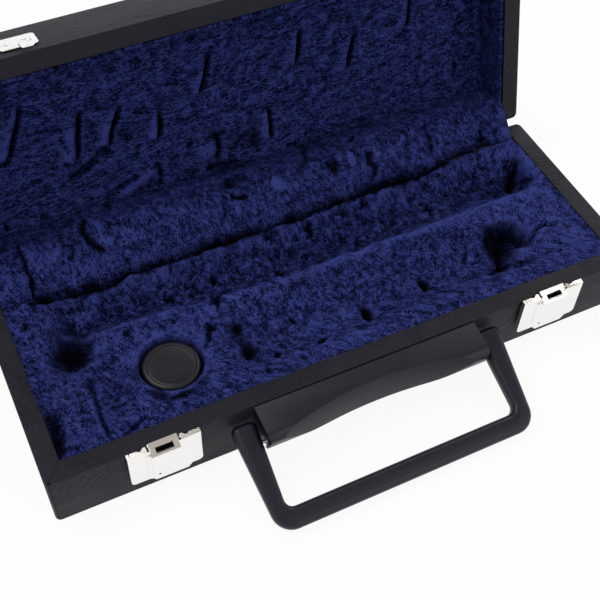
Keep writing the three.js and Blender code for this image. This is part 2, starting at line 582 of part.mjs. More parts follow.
for (const [side, x] of latchSides) {
  const at = (made) => made.translate([x, 0, 0]);
  piece(`${side}_latch_base_plate`, at(latchBase()), tint.steel, 0.8, 0.4);
  piece(`${side}_latch_cover`, at(latchCover()), tint.nickel, 0.95, 0.18);
  piece(`${side}_latch_spring`, at(returnSpring()), tint.steel, 0.8, 0.35);
  piece(`${side}_striker`, at(strikerPlate()), tint.nickel, 0.95, 0.2, true);
  const latchFace = out(seam + latch.sheet + fit), strikerFace = out(seam + striker.sheet + fit);
  for (const [n, place] of [[1, latchRivet.left], [2, latchRivet.right]])
    piece(`${side}_latch_rivet_${n}`,
      rivetAt(x + place, latchRivetZ, latchFace, 1, latchRivet.head, latchRivet.rise), tint.steel, 0.8, 0.4);
  for (const [n, s] of [[1, -1], [2, 1]])
    piece(`${side}_striker_rivet_${n}`, rivetAt(x + s * striker.rivetX, strikerRivetZ, strikerFace, 1),
      tint.nickel, 0.9, 0.25, true);
}

// Handle: the bracket's section, cut to its plan with rounded front corners, scooped for the fingers.
const bracketFront = shell.baseHeight - bracket.frontDrop;
const bracketSection = outline([
  [out(seam), shell.baseHeight - bracket.topDrop], [out(bracket.reach), bracketFront, bracket.noseRound],
  [out(bracket.reach - bracket.chin), bracket.bottomFront, bracket.chinRound], [out(seam), bracket.bottomBack],
]);
const bracketPlan = outline([
  [-bracket.halfBack, out(seam)], [-bracket.halfFront, out(bracket.reach), bracket.cornerRadius],
  [bracket.halfFront, out(bracket.reach), bracket.cornerRadius], [bracket.halfBack, out(seam)],
]);
const lean = Math.atan2(bracket.scoopOut, bracket.scoopFall);
let bracketBody = prismX(bracketSection, -bracket.halfBack, bracket.halfBack)
  .intersect(prismZ(bracketPlan, 0, shell.baseHeight));
bracketBody = bracketBody.subtract(
  rod(bracket.scoopRadius, -shell.baseHeight, shell.baseHeight, 180)
    .translate([0, out(bracket.scoopRadius), 0])
    .rotate([-THREE.MathUtils.radToDeg(lean), 0, 0])
    .translate([0, out(bracket.scoopSide), bracketFront]));
for (const side of [-1, 1]) {
  bracketBody = bracketBody.subtract(rodY(screw.shank + fit, out(screw.bite + seam), overrun,
    side * screw.offset, screw.height));
  const mouth = side * (bracket.halfBack + overrun), depthX = side * (bracket.halfFront - pivotPin.inside - seam);
  bracketBody = bracketBody.subtract(rodX(pivotPin.radius + fit, Math.min(mouth, depthX), Math.max(mouth, depthX),
    out(bail.pivotOut), bail.pivotUp));
}
piece("handle_bracket", bracketBody, tint.plastic, 0, 0.5);

// Bail: its flat loop is drawn in (x, reach from the pivot), padded out with rounded edges, then tipped down.
function bailLoop() {
  const outerEnd = bail.reach + bail.bar / 2, innerEnd = bail.reach - bail.bar / 2;
  const round = bail.edgeRound;
  const shape = outline([
    [-bail.outerTop, -bail.tail, bail.tailRadius], [-bail.innerTop, -bail.tail, bail.tailRadius],
    [-bail.innerBar, innerEnd, bail.innerRadius], [bail.innerBar, innerEnd, bail.innerRadius],
    [bail.innerTop, -bail.tail, bail.tailRadius], [bail.outerTop, -bail.tail, bail.tailRadius],
    [bail.outerBar, outerEnd, bail.outerRadius], [-bail.outerBar, outerEnd, bail.outerRadius],
  ]);
  const loop = new THREE.ExtrudeGeometry(shape, {
    depth: bail.thick - 2 * round, bevelThickness: round, bevelSize: round, bevelOffset: -round,
    bevelSegments: 2, curveSegments: 5,
  }).translate(0, 0, round - bail.thick / 2);
  let made = solid(loop);
  for (const side of [-1, 1]) {
    const deep = bail.innerTop + pivotPin.outside + seam;
    made = made.subtract(rod(pivotPin.radius + fit, side > 0 ? bail.innerTop - overrun : -deep,
      side > 0 ? deep : overrun - bail.innerTop).rotate([0, 90, 0]));
  }
  // Reach points away from the wall and down by the bail's rest angle.
  return made.rotate([180, 0, 0]).rotate([bail.degrees, 0, 0]).translate([0, out(bail.pivotOut), bail.pivotUp]);
}
piece("handle_bail", bailLoop(), tint.plastic, 0, 0.45);
for (const [side, sign] of [["left", -1], ["right", 1]]) {
  const from = bracket.halfFront - pivotPin.inside, to = bail.innerTop + pivotPin.outside;
  piece(`${side}_bail_pin`, rodX(pivotPin.radius, Math.min(sign * from, sign * to), Math.max(sign * from, sign * to),
    out(bail.pivotOut), bail.pivotUp), tint.nickel, 0.9, 0.25);
  const headY = shell.wall - screw.sink + fit;
  const made = turned([
    [0, -screw.rise], [screw.head, -screw.rise], [screw.head, 0], [screw.shank, 0],
    [screw.shank, headY + screw.bite], [0, headY + screw.bite],
  ], 20).rotate([90, 0, 0]).translate([sign * screw.offset, headY, screw.height]);
  piece(`${side}_bracket_screw`, made, tint.steel, 0.8, 0.35);
}

// Grease pot: jar, filling and screw cap.
const capBottom = trayTop - pot.topDrop - cap.height;
const capTop = capBottom + cap.height;
const neckTop = capTop - cap.top - seam;
const atPot = (made) => made.translate([potX, pot.y, 0]);
const jar = turned([
  [0, potBottom], [pot.radius, potBottom], [pot.radius, capBottom - seam],
  [pot.neckRadius, capBottom - seam], [pot.neckRadius, neckTop], [pot.neckRadius - pot.wall, neckTop],
  [pot.neckRadius - pot.wall, potBottom + pot.floor], [0, potBottom + pot.floor],
], 40);
piece("pot_jar", atPot(jar), tint.pot, 0, 0.5);
const filling = pot.neckRadius - pot.wall - seam;
piece("pot_grease", atPot(rod(filling, potBottom + pot.floor + seam, neckTop - pot.wall, 36)), tint.grease, 0, 0.4);
const capInner = cap.radius - cap.wall;
piece("pot_cap", atPot(turned([
  [0, capTop - cap.top], [capInner, capTop - cap.top], [capInner, capBottom], [cap.radius, capBottom],
  [cap.radius, capTop - cap.edgeRound], [cap.radius - cap.edgeRound * (1 - Math.SQRT1_2), capTop - cap.edgeRound * (1 - Math.SQRT1_2)],
  [cap.radius - cap.edgeRound, capTop], [cap.ringRadius, capTop], [cap.ringRadius - cap.ringDrop, capTop - cap.ringDrop],
  [0, capTop - cap.ringDrop],
], 40)), tint.pot, 0, 0.45);

export default root;
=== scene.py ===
import math
import bpy
import bmesh
import numpy as np
from mathutils import Matrix, Vector


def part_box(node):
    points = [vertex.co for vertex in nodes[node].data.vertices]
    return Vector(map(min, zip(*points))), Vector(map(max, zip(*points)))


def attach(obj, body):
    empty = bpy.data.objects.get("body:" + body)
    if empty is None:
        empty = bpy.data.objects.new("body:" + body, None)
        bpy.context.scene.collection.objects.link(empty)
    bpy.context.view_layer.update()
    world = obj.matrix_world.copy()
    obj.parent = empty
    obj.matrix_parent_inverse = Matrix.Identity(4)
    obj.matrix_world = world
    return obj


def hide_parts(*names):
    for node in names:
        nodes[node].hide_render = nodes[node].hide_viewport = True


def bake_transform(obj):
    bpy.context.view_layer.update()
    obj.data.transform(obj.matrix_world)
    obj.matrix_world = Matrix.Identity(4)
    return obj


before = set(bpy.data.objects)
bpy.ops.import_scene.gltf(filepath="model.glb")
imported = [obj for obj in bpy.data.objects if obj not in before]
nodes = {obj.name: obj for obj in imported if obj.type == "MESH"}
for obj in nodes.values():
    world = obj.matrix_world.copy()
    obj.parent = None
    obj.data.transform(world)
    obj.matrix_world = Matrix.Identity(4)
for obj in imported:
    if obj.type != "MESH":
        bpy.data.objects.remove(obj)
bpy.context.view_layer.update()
mm = 0.001
frontFace = -0.053  # y of the front wall's outer face
axisPoint = Vector((0, 0.0553, 0.03165))  # hinge line
swing = Matrix.Rotation(math.radians(-106), 4, "X")  # from shut to open
openLid = Matrix.Translation(axisPoint) @ swing @ Matrix.Translation(-axisPoint)
bpy.ops.object.select_all(action="DESELECT")


def at(x, y, z):  # millimetres from the front wall's foot to metres in the frame
    return Vector((x * mm, frontFace + y * mm, z * mm))


# numbers worked out on whole grids of points

def ease(t):  # 0 to 1 with a soft start and end
    s = np.clip(t, 0, 1)
    return s * s * (3 - 2 * s)


def smoothNoise(x, y, size, seed):  # soft random hills about size across, from -1 to 1
    n = 128
    table = np.random.default_rng(seed).uniform(-1, 1, (n, n))
    u, v = x / size + 40.3, y / size + 40.7
    i, j = np.floor(u).astype(int), np.floor(v).astype(int)
    a, b = ease(u - i), ease(v - j)
    i0, i1, j0, j1 = i % n, (i + 1) % n, j % n, (j + 1) % n
    low = table[i0, j0] * (1 - a) + table[i1, j0] * a
    high = table[i0, j1] * (1 - a) + table[i1, j1] * a
    return low * (1 - b) + high * b


def hills(x, y, size, seed, layers=3):  # noise in layers, each half as large as the last
    total, share = 0 * x, 1.0
    for k in range(layers):
        total = total + share * smoothNoise(x, y, size / 2 ** k, seed + k)
        share *= 0.5
    return total


def alongLine(x, y, points):  # distance to a line of points, and how far along it from 0 to 1
    best = np.full(np.shape(x), 1e9)
    place = np.zeros(np.shape(x))
    count = len(points) - 1
    for k in range(count):
        (ax, ay), (bx, by) = points[k], points[k + 1]
        dx, dy = bx - ax, by - ay
        t = np.clip(((x - ax) * dx + (y - ay) * dy) / (dx * dx + dy * dy), 0, 1)
        far = np.hypot(x - ax - t * dx, y - ay - t * dy)
        near = far < best
        best = np.where(near, far, best)
        place = np.where(near, (k + t) / count, place)
    return best, place


def crease(x, y, points, width, depth, ends=0.15):  # a fold pressed along a line
    far, place = alongLine(x, y, points)
    taper = ease(place / ends) * ease((1 - place) / ends) if ends else 1
    return depth * np.exp(-(far / width) ** 1.6) * taper


def hollow(x, y, cx, cy, rx, ry, turn, depth, power=1.0):  # a pit with a rounded floor
    c, s = math.cos(math.radians(turn)), math.sin(math.radians(turn))
    u, v = ((x - cx) * c + (y - cy) * s) / rx, (-(x - cx) * s + (y - cy) * c) / ry
    return depth * (1 - ease(np.hypot(u, v) ** power))


def inOutline(x, y, outline):  # which points lie inside a closed line
    inside = np.zeros(np.shape(x), bool)
    for (ax, ay), (bx, by) in zip(outline, outline[1:] + outline[:1]):
        if ay != by:
            inside ^= ((ay > y) != (by > y)) & (x < ax + (y - ay) * (bx - ax) / (by - ay))
    return inside


def pocket(x, y, outline, depth, slope):  # a hollow with a drawn edge
    far, _ = alongLine(x, y, outline + outline[:1])
    return depth * ease(far / slope) * inOutline(x, y, outline)


def spots(x, y, marks):  # soft oval marks: x, y, half length, half width, turn, strength
    total = 0 * x
    for cx, cy, rx, ry, turn, strength in marks:
        c, s = math.cos(math.radians(turn)), math.sin(math.radians(turn))
        u, v = ((x - cx) * c + (y - cy) * s) / rx, (-(x - cx) * s + (y - cy) * c) / ry
        total = np.maximum(total, strength * np.exp(-0.75 * np.hypot(u, v) ** 3.4))
    return total


def blurred(values, steps, axes=(0, 1)):  # soft copy of a grid of values
    out = values.copy()
    reach = np.arange(-2 * steps, 2 * steps + 1)
    weight = np.exp(-(reach / steps) ** 2)
    weight /= weight.sum()
    for axis in axes:
        pad = [(0, 0), (0, 0)]
        pad[axis] = (2 * steps, 2 * steps)
        wide = np.pad(out, pad, mode="edge")
        out = sum(w * np.take(wide, range(k, k + out.shape[axis]), axis=axis) for k, w in enumerate(weight))
    return out


def readPoints(mesh):
    points = np.zeros(len(mesh.vertices) * 3)
    mesh.vertices.foreach_get("co", points)
    return points.reshape(-1, 3)


def writePoints(mesh, points):
    mesh.vertices.foreach_set("co", np.asarray(points, float).ravel())
    mesh.update()


def named(name):
    piece = bpy.context.active_object
    piece.name = name
    piece.data.name = name
    return piece


def only(piece):  # the one selected and active object
    bpy.ops.object.select_all(action="DESELECT")
    piece.select_set(True)
    bpy.context.view_layer.objects.active = piece


def settle(piece):  # puts the object's place into its mesh
    only(piece)
    bpy.ops.object.transform_apply(location=True, rotation=True, scale=True)
    return piece


def smooth(piece, angle=35):
    only(piece)
    bpy.ops.object.shade_smooth_by_angle(angle=math.radians(angle))
    return piece


def applied(piece, kind, **settings):  # one modifier, set and applied
    only(piece)
    modifier = piece.modifiers.new(kind.lower(), kind)
    for key, value in settings.items():
        setattr(modifier, key, value)
    bpy.ops.object.modifier_apply(modifier=modifier.name)
    return piece


def block(name, centre, sides):  # a box in millimetres
    bpy.ops.mesh.primitive_cube_add(size=1, location=at(*centre), scale=[s * mm for s in sides])
    return settle(named(name))


def carve(piece, cutter):
    applied(piece, "BOOLEAN", operation="DIFFERENCE", solver="EXACT", object=cutter)
    bpy.data.objects.remove(cutter)


def crisp(piece):  # smooth bends, while large faces keep their own direction
    smooth(piece, 24)
    return applied(piece, "WEIGHTED_NORMAL", mode="FACE_AREA", weight=100, keep_sharp=True)


def pick(piece, faces=None, edges=None, points=None):  # edit mode with what passes the test selected
    only(piece)
    bpy.ops.object.mode_set(mode="EDIT")
    bpy.ops.mesh.select_mode(type="FACE" if faces else "EDGE" if edges else "VERT")
    bpy.ops.mesh.select_all(action="DESELECT")
    made = bmesh.from_edit_mesh(piece.data)
    if faces:
        for f in made.faces:
            f.select_set(faces(f))
    if edges:
        for e in made.edges:
            e.select_set(edges(e))
    if points:
        for v in made.verts:
            v.select_set(points(v))
    made.select_flush_mode()
    bmesh.update_edit_mesh(piece.data)


def done():
    bpy.ops.object.mode_set(mode="OBJECT")


# materials, written as sums of values

class Value:  # a socket that Python's own arithmetic can work on
    def __init__(self, maker, socket):
        self.maker, self.socket = maker, socket

    def calc(self, operation, other=None, flip=False, clamp=False):
        node = self.maker.tree.nodes.new("ShaderNodeMath")
        node.operation, node.use_clamp = operation, clamp
        for place, item in enumerate([other, self] if flip else [self, other]):
            if isinstance(item, Value):
                self.maker.tree.links.new(item.socket, node.inputs[place])
            elif item is not None:
                node.inputs[place].default_value = item
        return Value(self.maker, node.outputs[0])

    def __add__(self, other): return self.calc("ADD", other)
    def __radd__(self, other): return self.calc("ADD", other)
    def __sub__(self, other): return self.calc("SUBTRACT", other)
    def __rsub__(self, other): return self.calc("SUBTRACT", other, flip=True)
    def __mul__(self, other): return self.calc("MULTIPLY", other)
    def __rmul__(self, other): return self.calc("MULTIPLY", other)
    def size(self): return self.calc("ABSOLUTE")
    def clamp(self): return self.calc("MULTIPLY", 1.0, clamp=True)

    def between(self, low, high):  # 0 below low, 1 above high, smooth in the middle
        return self.maker.add("ShaderNodeMapRange", {"interpolation_type": "SMOOTHSTEP"},
                              {"Value": self, "From Min": low, "From Max": high})


class Nodes:  # adds nodes to one tree
    def __init__(self, tree):
        self.tree = tree

    def add(self, kind, settings=None, sockets=None, out=0):
        node = self.tree.nodes.new(kind)
        for key, value in (settings or {}).items():
            if key == "stops":
                ramp = node.color_ramp.elements
                while len(ramp) < len(value):
                    ramp.new(0.5)
                for stop, (place, colour) in zip(ramp, value):
                    stop.position, stop.color = place, (*colour, 1)
            else:
                setattr(node, key, value)
        for key, value in (sockets or {}).items():
            socket = node.inputs[key]
            if isinstance(value, Value):
                self.tree.links.new(value.socket, socket)
            else:
                socket.default_value = value
        return Value(self, node.outputs[out])

    def mix(self, share, first, second):  # from the first colour to the second
        node = self.tree.nodes.new("ShaderNodeMix")
        node.data_type = "RGBA"
        for place, item in ((0, share), (6, first), (7, second)):
            if isinstance(item, Value):
                self.tree.links.new(item.socket, node.inputs[place])
            else:
                node.inputs[place].default_value = (*item, 1)
        return Value(self, node.outputs[2])

    def rays(self):  # 1 for what the camera, gloss and glass see, and 1 for gloss by itself
        path = self.tree.nodes.new("ShaderNodeLightPath")
        direct, glossy, through = (Value(self, path.outputs["Is " + kind + " Ray"])
                                   for kind in ("Camera", "Glossy", "Transmission"))
        return (direct + glossy + through).clamp(), glossy


class Finish(Nodes):  # one material
    def __init__(self, name):
        self.material = bpy.data.materials.new(name)
        self.material.use_nodes = True
        super().__init__(self.material.node_tree)
        self.shader = self.tree.nodes["Principled BSDF"]

    def place(self, turn=(0, 0, 0), uv=None):  # millimetres on the piece
        start = self.add("ShaderNodeUVMap", {"uv_map": uv}) if uv else self.add("ShaderNodeTexCoord", out=3)
        return self.add("ShaderNodeMapping", {}, {
            "Vector": start, "Rotation": tuple(math.radians(a) for a in turn), "Scale": (1 / mm,) * 3})

    def noise(self, vector, scale, detail=2.0, roughness=0.5, out=0):
        return self.add("ShaderNodeTexNoise", {}, {
            "Vector": vector, "Scale": scale, "Detail": detail, "Roughness": roughness}, out)

    def warp(self, vector, scale, amount):  # pushes a vector about by a soft noise
        soft = self.noise(vector, scale, out=1)
        centred = self.add("ShaderNodeVectorMath", {"operation": "SUBTRACT"}, {0: soft, 1: (0.5, 0.5, 0.5)})
        moved = self.add("ShaderNodeVectorMath", {"operation": "SCALE"}, {0: centred, "Scale": amount})
        return self.add("ShaderNodeVectorMath", {"operation": "ADD"}, {0: vector, 1: moved})

    def stretched(self, vector, turn, stretch):  # turned first and stretched after
        return self.add("ShaderNodeMapping", {"vector_type": "TEXTURE"}, {
            "Vector": vector, "Rotation": (0, 0, math.radians(turn)), "Scale": tuple(1 / s for s in stretch)})

    def ramp(self, value, stops):
        return self.add("ShaderNodeValToRGB", {"stops": stops}, {"Fac": value})

    def bump(self, height, depth, strength=1.0, under=None):  # depth in metres
        sockets = {"Height": height, "Distance": depth, "Strength": strength}
        if under:
            sockets["Normal"] = under
        return self.add("ShaderNodeBump", {}, sockets)

    def set(self, **sockets):
        for key, value in sockets.items():
            socket = self.shader.inputs[key.replace("_", " ")]
            if isinstance(value, Value):
                self.tree.links.new(value.socket, socket)
            else:
                socket.default_value = value
        return self

    def on(self, piece):
        piece.data.materials.clear()
        piece.data.materials.append(self.material)
        return piece


plushLook = {
    "deep": (0.0013, 0.0022, 0.0105), "low": (0.0068, 0.0096, 0.046), "mid": (0.0155, 0.0215, 0.104),
    "tip": (0.040, 0.054, 0.225), "paintedShadeColour": (0.0005, 0.0007, 0.0030), "shine": (0.25, 0.32, 1.0, 1),
    "lowAt": 0.3, "midAt": 0.56, "strands": 3.8, "bundles": 1.5, "tufts": 1.3, "level": 0.5, "hollows": 0.42,
    "swirl": 5.0, "patch": 0.07, "clump": 0.2, "paintedShading": 1.15, "tipsInPaintedShading": 1.2, "relief": 0.7,
}
pileLay = {  # turn in degrees, then how finely the pile varies across and along it
    "loose": {"bend": 0.075, "strand": (52, 2.0, 0.72), "crossing": (-40, 2.0, 0.72), "bundle": (30, 0.5, 0.24),
              "detail": 3.0, "grit": 0.65, "crossed": 1.0},
    "combed": {"bend": 0.06, "strand": (6, 0.576, 2.0), "crossing": (-38, 2.0, 0.72), "bundle": (4, 0.16, 0.55),
               "detail": 2.0, "grit": 0.6, "crossed": 0.45},  # the lid's panel lies in fine rows
}


def plushFinish(name, lay):  # short dense pile whose strands lean in changing directions
    look = plushLook
    f = Finish(name)
    flat = f.place(uv="pile")
    bent = f.warp(flat, lay["bend"], look["swirl"])

    def lying(key, detail, grit):
        turn, across, along = lay[key]
        return f.noise(f.stretched(bent, turn, (across, along, 1)), 1.0, detail, grit)

    strand, other = (lying(key, lay["detail"], lay["grit"]) for key in ("strand", "crossing"))
    bundle = lying("bundle", 2.0, 0.6)
    patch = f.noise(flat, look["patch"]).between(0.4, 0.6) * lay["crossed"]
    pile = strand * (1 - patch) + other * patch
    clump = f.noise(flat, look["clump"], 2.0, 0.55)
    cavity, fold = (f.add("ShaderNodeAttribute", {"attribute_name": key}, out=2) for key in ("cavity", "fold"))
    tone = (pile - 0.5) * look["strands"] + (bundle - 0.5) * look["bundles"] + (clump - 0.5) * look["tufts"]
    # painted shade in hollows, painted highlights on ridges and at the highlight marks
    tone = tone + cavity * look["hollows"] + look["level"]
    colour = f.ramp(tone.clamp(), [(0.0, look["deep"]), (look["lowAt"], look["low"]),
                                   (look["midAt"], look["mid"]), (1.0, look["tip"])])
    # painted shade: the fold attribute mixes the pile towards a near-black shade colour
    paintedShading = (fold * look["paintedShading"] + (pile - 0.5) * fold * -look["tipsInPaintedShading"]).clamp()
    height = pile * 0.5 + bundle * 0.5
    f.set(Base_Color=f.mix(paintedShading, colour, look["paintedShadeColour"]), Normal=f.bump(height, look["relief"] * mm))
    return f.set(Roughness=0.92, Specular_IOR_Level=0.03, Sheen_Weight=0.04, Sheen_Roughness=0.4,
                 Sheen_Tint=look["shine"])


leatherLook = {
    "dark": (0.0018, 0.0019, 0.0070), "light": (0.0075, 0.0078, 0.0165), "seam": (0.001, 0.001, 0.0015),
    "grain": 0.9, "relief": 0.13, "gloss": 0.24,
    "slant": (0, 38, 0), "folds": (0.07, 0.42, 0.55), "foldDepth": 1.6, "foldPatch": 0.035,  # long creases
    "mitre": 97.0, "innerX": 140.9, "innerY": 43.9, "rim": 30.2,  # corner folds, from the box's middle
}


def leatherFinish(name, mitres):
    look = leatherLook
    f = Finish(name)
    spot = f.place()
    pebble = f.add("ShaderNodeTexVoronoi", {"feature": "DISTANCE_TO_EDGE"},
                   {"Vector": f.warp(spot, 0.5, 0.5), "Scale": look["grain"]})
    grain = pebble.between(0.0, 0.22)
    soft = f.noise(spot, 0.05, 3.0)
    fine = f.noise(spot, 2.2, 2.0, 0.6)
    tone = grain * 0.35 + fine * 0.35 + soft * 0.5 - 0.1
    colour = f.mix(tone.clamp(), look["dark"], look["light"])
    rough = 0.42 + soft * 0.16 + (1 - grain) * 0.1
    height = grain * 0.6 + fine * 0.4
    slant = f.warp(f.place(turn=look["slant"]), 0.03, 22.0)
    fold = f.noise(f.add("ShaderNodeMapping", {}, {"Vector": slant, "Scale": look["folds"]}), 1.0, 3.0, 0.6)
    line = (fold - 0.5).size().between(0.0, 0.05)
    shown = f.noise(spot, look["foldPatch"], 1.0).between(0.44, 0.58)  # where the creases come and go
    height = height - (1 - line) * shown
    if mitres:
        x, y, z = (f.add("ShaderNodeSeparateXYZ", {}, {"Vector": spot}, out=k) for k in range(3))
        far = (y.size() - x.size() + look["mitre"]).size()
        cut = (1 - far.between(0.12, 0.4)) * x.size().between(look["innerX"], look["innerX"] + 0.1)
        cut = cut * y.size().between(look["innerY"], look["innerY"] + 0.1)
        cut = cut * z.between(look["rim"], look["rim"] + 0.3)
        height = height - cut * 2.5
        colour = f.mix(cut * 0.8, colour, look["seam"])
    grainy = f.bump(height, look["relief"] * mm, 0.9)
    creased = f.bump(fold * (shown * 0.8 + 0.2), look["foldDepth"] * mm, 0.6, grainy)
    return f.set(Base_Color=colour, Roughness=rough, Normal=creased, Specular_IOR_Level=look["gloss"])


satinLook = {"dark": (0.0022, 0.0024, 0.0110), "light": (0.0046, 0.0050, 0.0150), "rough": 0.38}
potLook = {"dark": (0.0020, 0.0020, 0.0062), "light": (0.0042, 0.0042, 0.0098), "rough": 0.36}


def plasticFinish(name, look):
    f = Finish(name)
    spot = f.place()
    soft = f.noise(spot, 0.06, 3.0)
    fine = f.noise(spot, 2.4, 2.0, 0.6)
    rubbed = f.stretched(f.warp(spot, 0.08, 6.0), 25, (0.9, 0.06, 0.4))
    marks = f.noise(rubbed, 1.0, 3.0, 0.6).between(0.62, 0.74)
    colour = f.mix((soft * 0.6 + fine * 0.4).clamp(), look["dark"], look["light"])
    return f.set(Base_Color=colour, Roughness=look["rough"] + (soft - 0.5) * 0.16 + fine * 0.08 - marks * 0.05,
                 Normal=f.bump(fine, 0.035 * mm, 0.6), Specular_IOR_Level=0.36)


def metalFinish(name, dark, light, rough, brushed=0.0):
    f = Finish(name)
    spot = f.place()
    cloud = f.noise(spot, 0.12, 3.0)
    rub = f.noise(f.stretched(spot, 0, (0.08, 1.6, 1.6)), 1.0, 3.0, 0.7)
    speck = f.noise(spot, 1.8, 2.0, 0.7).between(0.6, 0.8)
    colour = f.mix((cloud * 0.6 + rub * 0.4).clamp(), dark, light)
    return f.set(Base_Color=colour, Metallic=1.0, Roughness=rough + cloud * 0.1 + speck * 0.06 + rub * brushed,
                 Normal=f.bump(rub * brushed + cloud * 0.5, 0.02 * mm, 0.5))


def greaseFinish(name):
    f = Finish(name)
    soft = f.noise(f.place(), 0.2, 3.0)
    return f.set(Base_Color=f.mix(soft, (0.55, 0.42, 0.2), (0.7, 0.58, 0.34)), Roughness=0.25 + soft * 0.15,
                 Normal=f.bump(soft, 0.3 * mm, 0.6))


plush = plushFinish("royalPlush", pileLay["loose"])
combedPlush = plushFinish("combedPlush", pileLay["combed"])
leather = leatherFinish("blackLeatherette", mitres=True)
lidLeather = leatherFinish("lidLeatherette", mitres=False)
satinPlastic = plasticFinish("satinPlastic", satinLook)
potPlastic = plasticFinish("potPlastic", potLook)
nickel = metalFinish("brightNickel", (0.88, 0.865, 0.85), (0.95, 0.94, 0.93), 0.1)
blackSteel = metalFinish("blackenedSteel", (0.05, 0.05, 0.055), (0.10, 0.10, 0.105), 0.4, brushed=0.1)
steel = metalFinish("brushedSteel", (0.42, 0.42, 0.44), (0.58, 0.58, 0.6), 0.3, brushed=0.2)
greaseLook = greaseFinish("corkGrease")
print("finishes ready")

# wrapped wooden walls of both halves

shellSize = {
    "width": 300.0, "depth": 106.0, "wall": 9.0, "panel": 3.0, "corner": 2.6, "inner": 0.9, "edge": 1.2,
    "rebate": 1.2, "rebateAt": 6.0, "rebateLong": 14.0,
    "baseLow": 0.0, "baseHigh": 31.5, "lidLow": 31.8, "lidHigh": 61.8,
}


def wrappedShell(name, low, high, openUp):  # a cube, its open side inset and pushed in, all edges rounded
    size = shellSize
    piece = block(name, (0, size["depth"] / 2, (low + high) / 2), (size["width"], size["depth"], high - low))
    side = 1 if openUp else -1
    deep = (0, 0, -side * (high - low - size["panel"]) * mm)
    pick(piece, faces=lambda f: f.normal.z * side > 0.9)
    bpy.ops.mesh.inset(thickness=size["wall"] * mm, use_even_offset=True)
    bpy.ops.mesh.extrude_region_move(TRANSFORM_OT_translate={"value": deep})
    done()
    outer = (size["width"] / 2 - 0.5) * mm

    def upright(e, outside):
        a, b = e.verts
        if abs(a.co.z - b.co.z) < 1e-4 or (a.co - b.co).xy.length > 1e-5:
            return False
        return (abs(a.co.x) > outer) == outside

    for outside, radius, steps in ((True, size["corner"], 6), (False, size["inner"], 3)):
        pick(piece, edges=lambda e: upright(e, outside))
        bpy.ops.mesh.bevel(offset=radius * mm, segments=steps, profile=0.5, affect="EDGES")
        done()
    middle = (0, size["depth"] - size["wall"] + size["rebateAt"], high if openUp else low)
    sides = (size["width"] - 2 * size["wall"], size["rebateLong"], 2 * size["rebate"])
    carve(piece, block("rebateCutter", middle, sides))  # the strip over the hinge line lies in it
    applied(piece, "BEVEL", width=size["edge"] * mm, segments=4, limit_method="ANGLE",
            angle_limit=math.radians(50), use_clamp_overlap=True, harden_normals=False)
    return smooth(piece, 32)


baseShell = leather.on(wrappedShell("base_shell", shellSize["baseLow"], shellSize["baseHigh"], True))
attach(baseShell, "base")
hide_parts("base_frame", "base_bottom_panel")
lidShell = lidLeather.on(wrappedShell("lid_shell", shellSize["lidLow"], shellSize["lidHigh"], False))
lidShell.data.transform(openLid)
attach(lidShell, "lid")
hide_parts("lid_frame", "lid_top_panel")
print("walls wrapped")

# plush of the base tray

tray = {
    "step": 0.62, "halfX": 141.0, "front": 9.0, "back": 97.0, "top": 31.2, "floor": 4.0,
    "overRim": 0.9, "sideIn": 0.35, "shoulder": 2.2, "rimLow": 30.75, "rimHigh": 31.55, "highest": 31.9,
}
rearTrough = {"left": -123, "right": 130, "end": 12, "run": [  # x, middle, half, depth
    (-123, 78.5, 13.0, 9.5), (-75, 78.5, 13.6, 11.0), (-45, 76.6, 15.8, 11.5), (5, 76.6, 16.0, 12.0),
    (28, 77.5, 17.2, 13.0), (130, 78.2, 17.4, 13.5)]}
troughs = [(-56, 94, 38, 21, 6.0, 18), (104, 139, 76, 13.5, 15, 13)]  # left, right, middle, half, depth, end
hollows = [(-119.5, 62, 13, 14.5, 0, 12.5), (-107, 33, 12, 20, 0, 3.2), (-138, 25, 5.5, 19, 0, 5.5)]
ringPocket = {"depth": 12.0, "slope": 5.5, "outline": [
    (81.5, 20.5), (92.6, 50.5), (108, 48), (113, 37), (106, 27.5), (95.5, 30), (90, 20.5)]}
tongue = (98.0, 25.4, 5.6, 4.6, 0, 2.6)
trayCreases = [  # line, width, depth
    ([(134, 84), (128, 74), (120.5, 63.5)], 2.2, 5),  # right pit's fold
    ([(104, 29), (111, 33), (117, 37.5), (122, 38), (125.5, 34)], 1.3, 2.8),  # curl
    ([(76, 21.6), (86, 21.2), (100, 20)], 1.3, 2.4),
    ([(-56, 52), (-59.5, 43), (-64, 37)], 1.6, 3.4),  # block right of the pot
    ([(-118.4, 10), (-118.2, 24), (-117.2, 34), (-117.6, 47)], 1.2, 2.6),
    ([(-113, 9.5), (-106, 13), (-99, 15.5)], 1.1, 1.8),
]
frontRidge = [(-20, 58), (0, 58.2), (40, 58), (80, 58.4), (118, 59.4), (134, 61)], 3.0, 1.2  # and its height
sightline = (0.363, 0.697)  # small marks are placed where they show at the rim's level
pits = [  # x, y, half length, half width, turn, depth
    (-47, 27, 4.6, 5.2, 0, 6), (-47, 41, 4, 5.4, 0, 4), (-55.5, 48, 2.6, 3.2, 0, 3),
    (12.5, 24, 3.5, 5.4, -12, 8.5), (46.6, 29, 3.4, 4.6, -8, 8.5), (-21, 36, 1.8, 3.2, 10, 3),
    (-14, 19, 3.2, 1.8, 0, 3), (-35, 20.5, 2.4, 2, 0, 3), (-62, 14.5, 2.8, 2.4, 0, 3),
    (-42, 15, 2.4, 2.4, 0, 3), (-25, 15, 2.2, 2.6, 0, 3), (74.5, 36, 5.4, 1.8, 45, 2.5),
    (-93, 60, 3.4, 3.6, 0, 3), (-134, 82.5, 2.6, 3, 0, 2.5), (-139, 77, 2, 2.4, 0, 2),
]
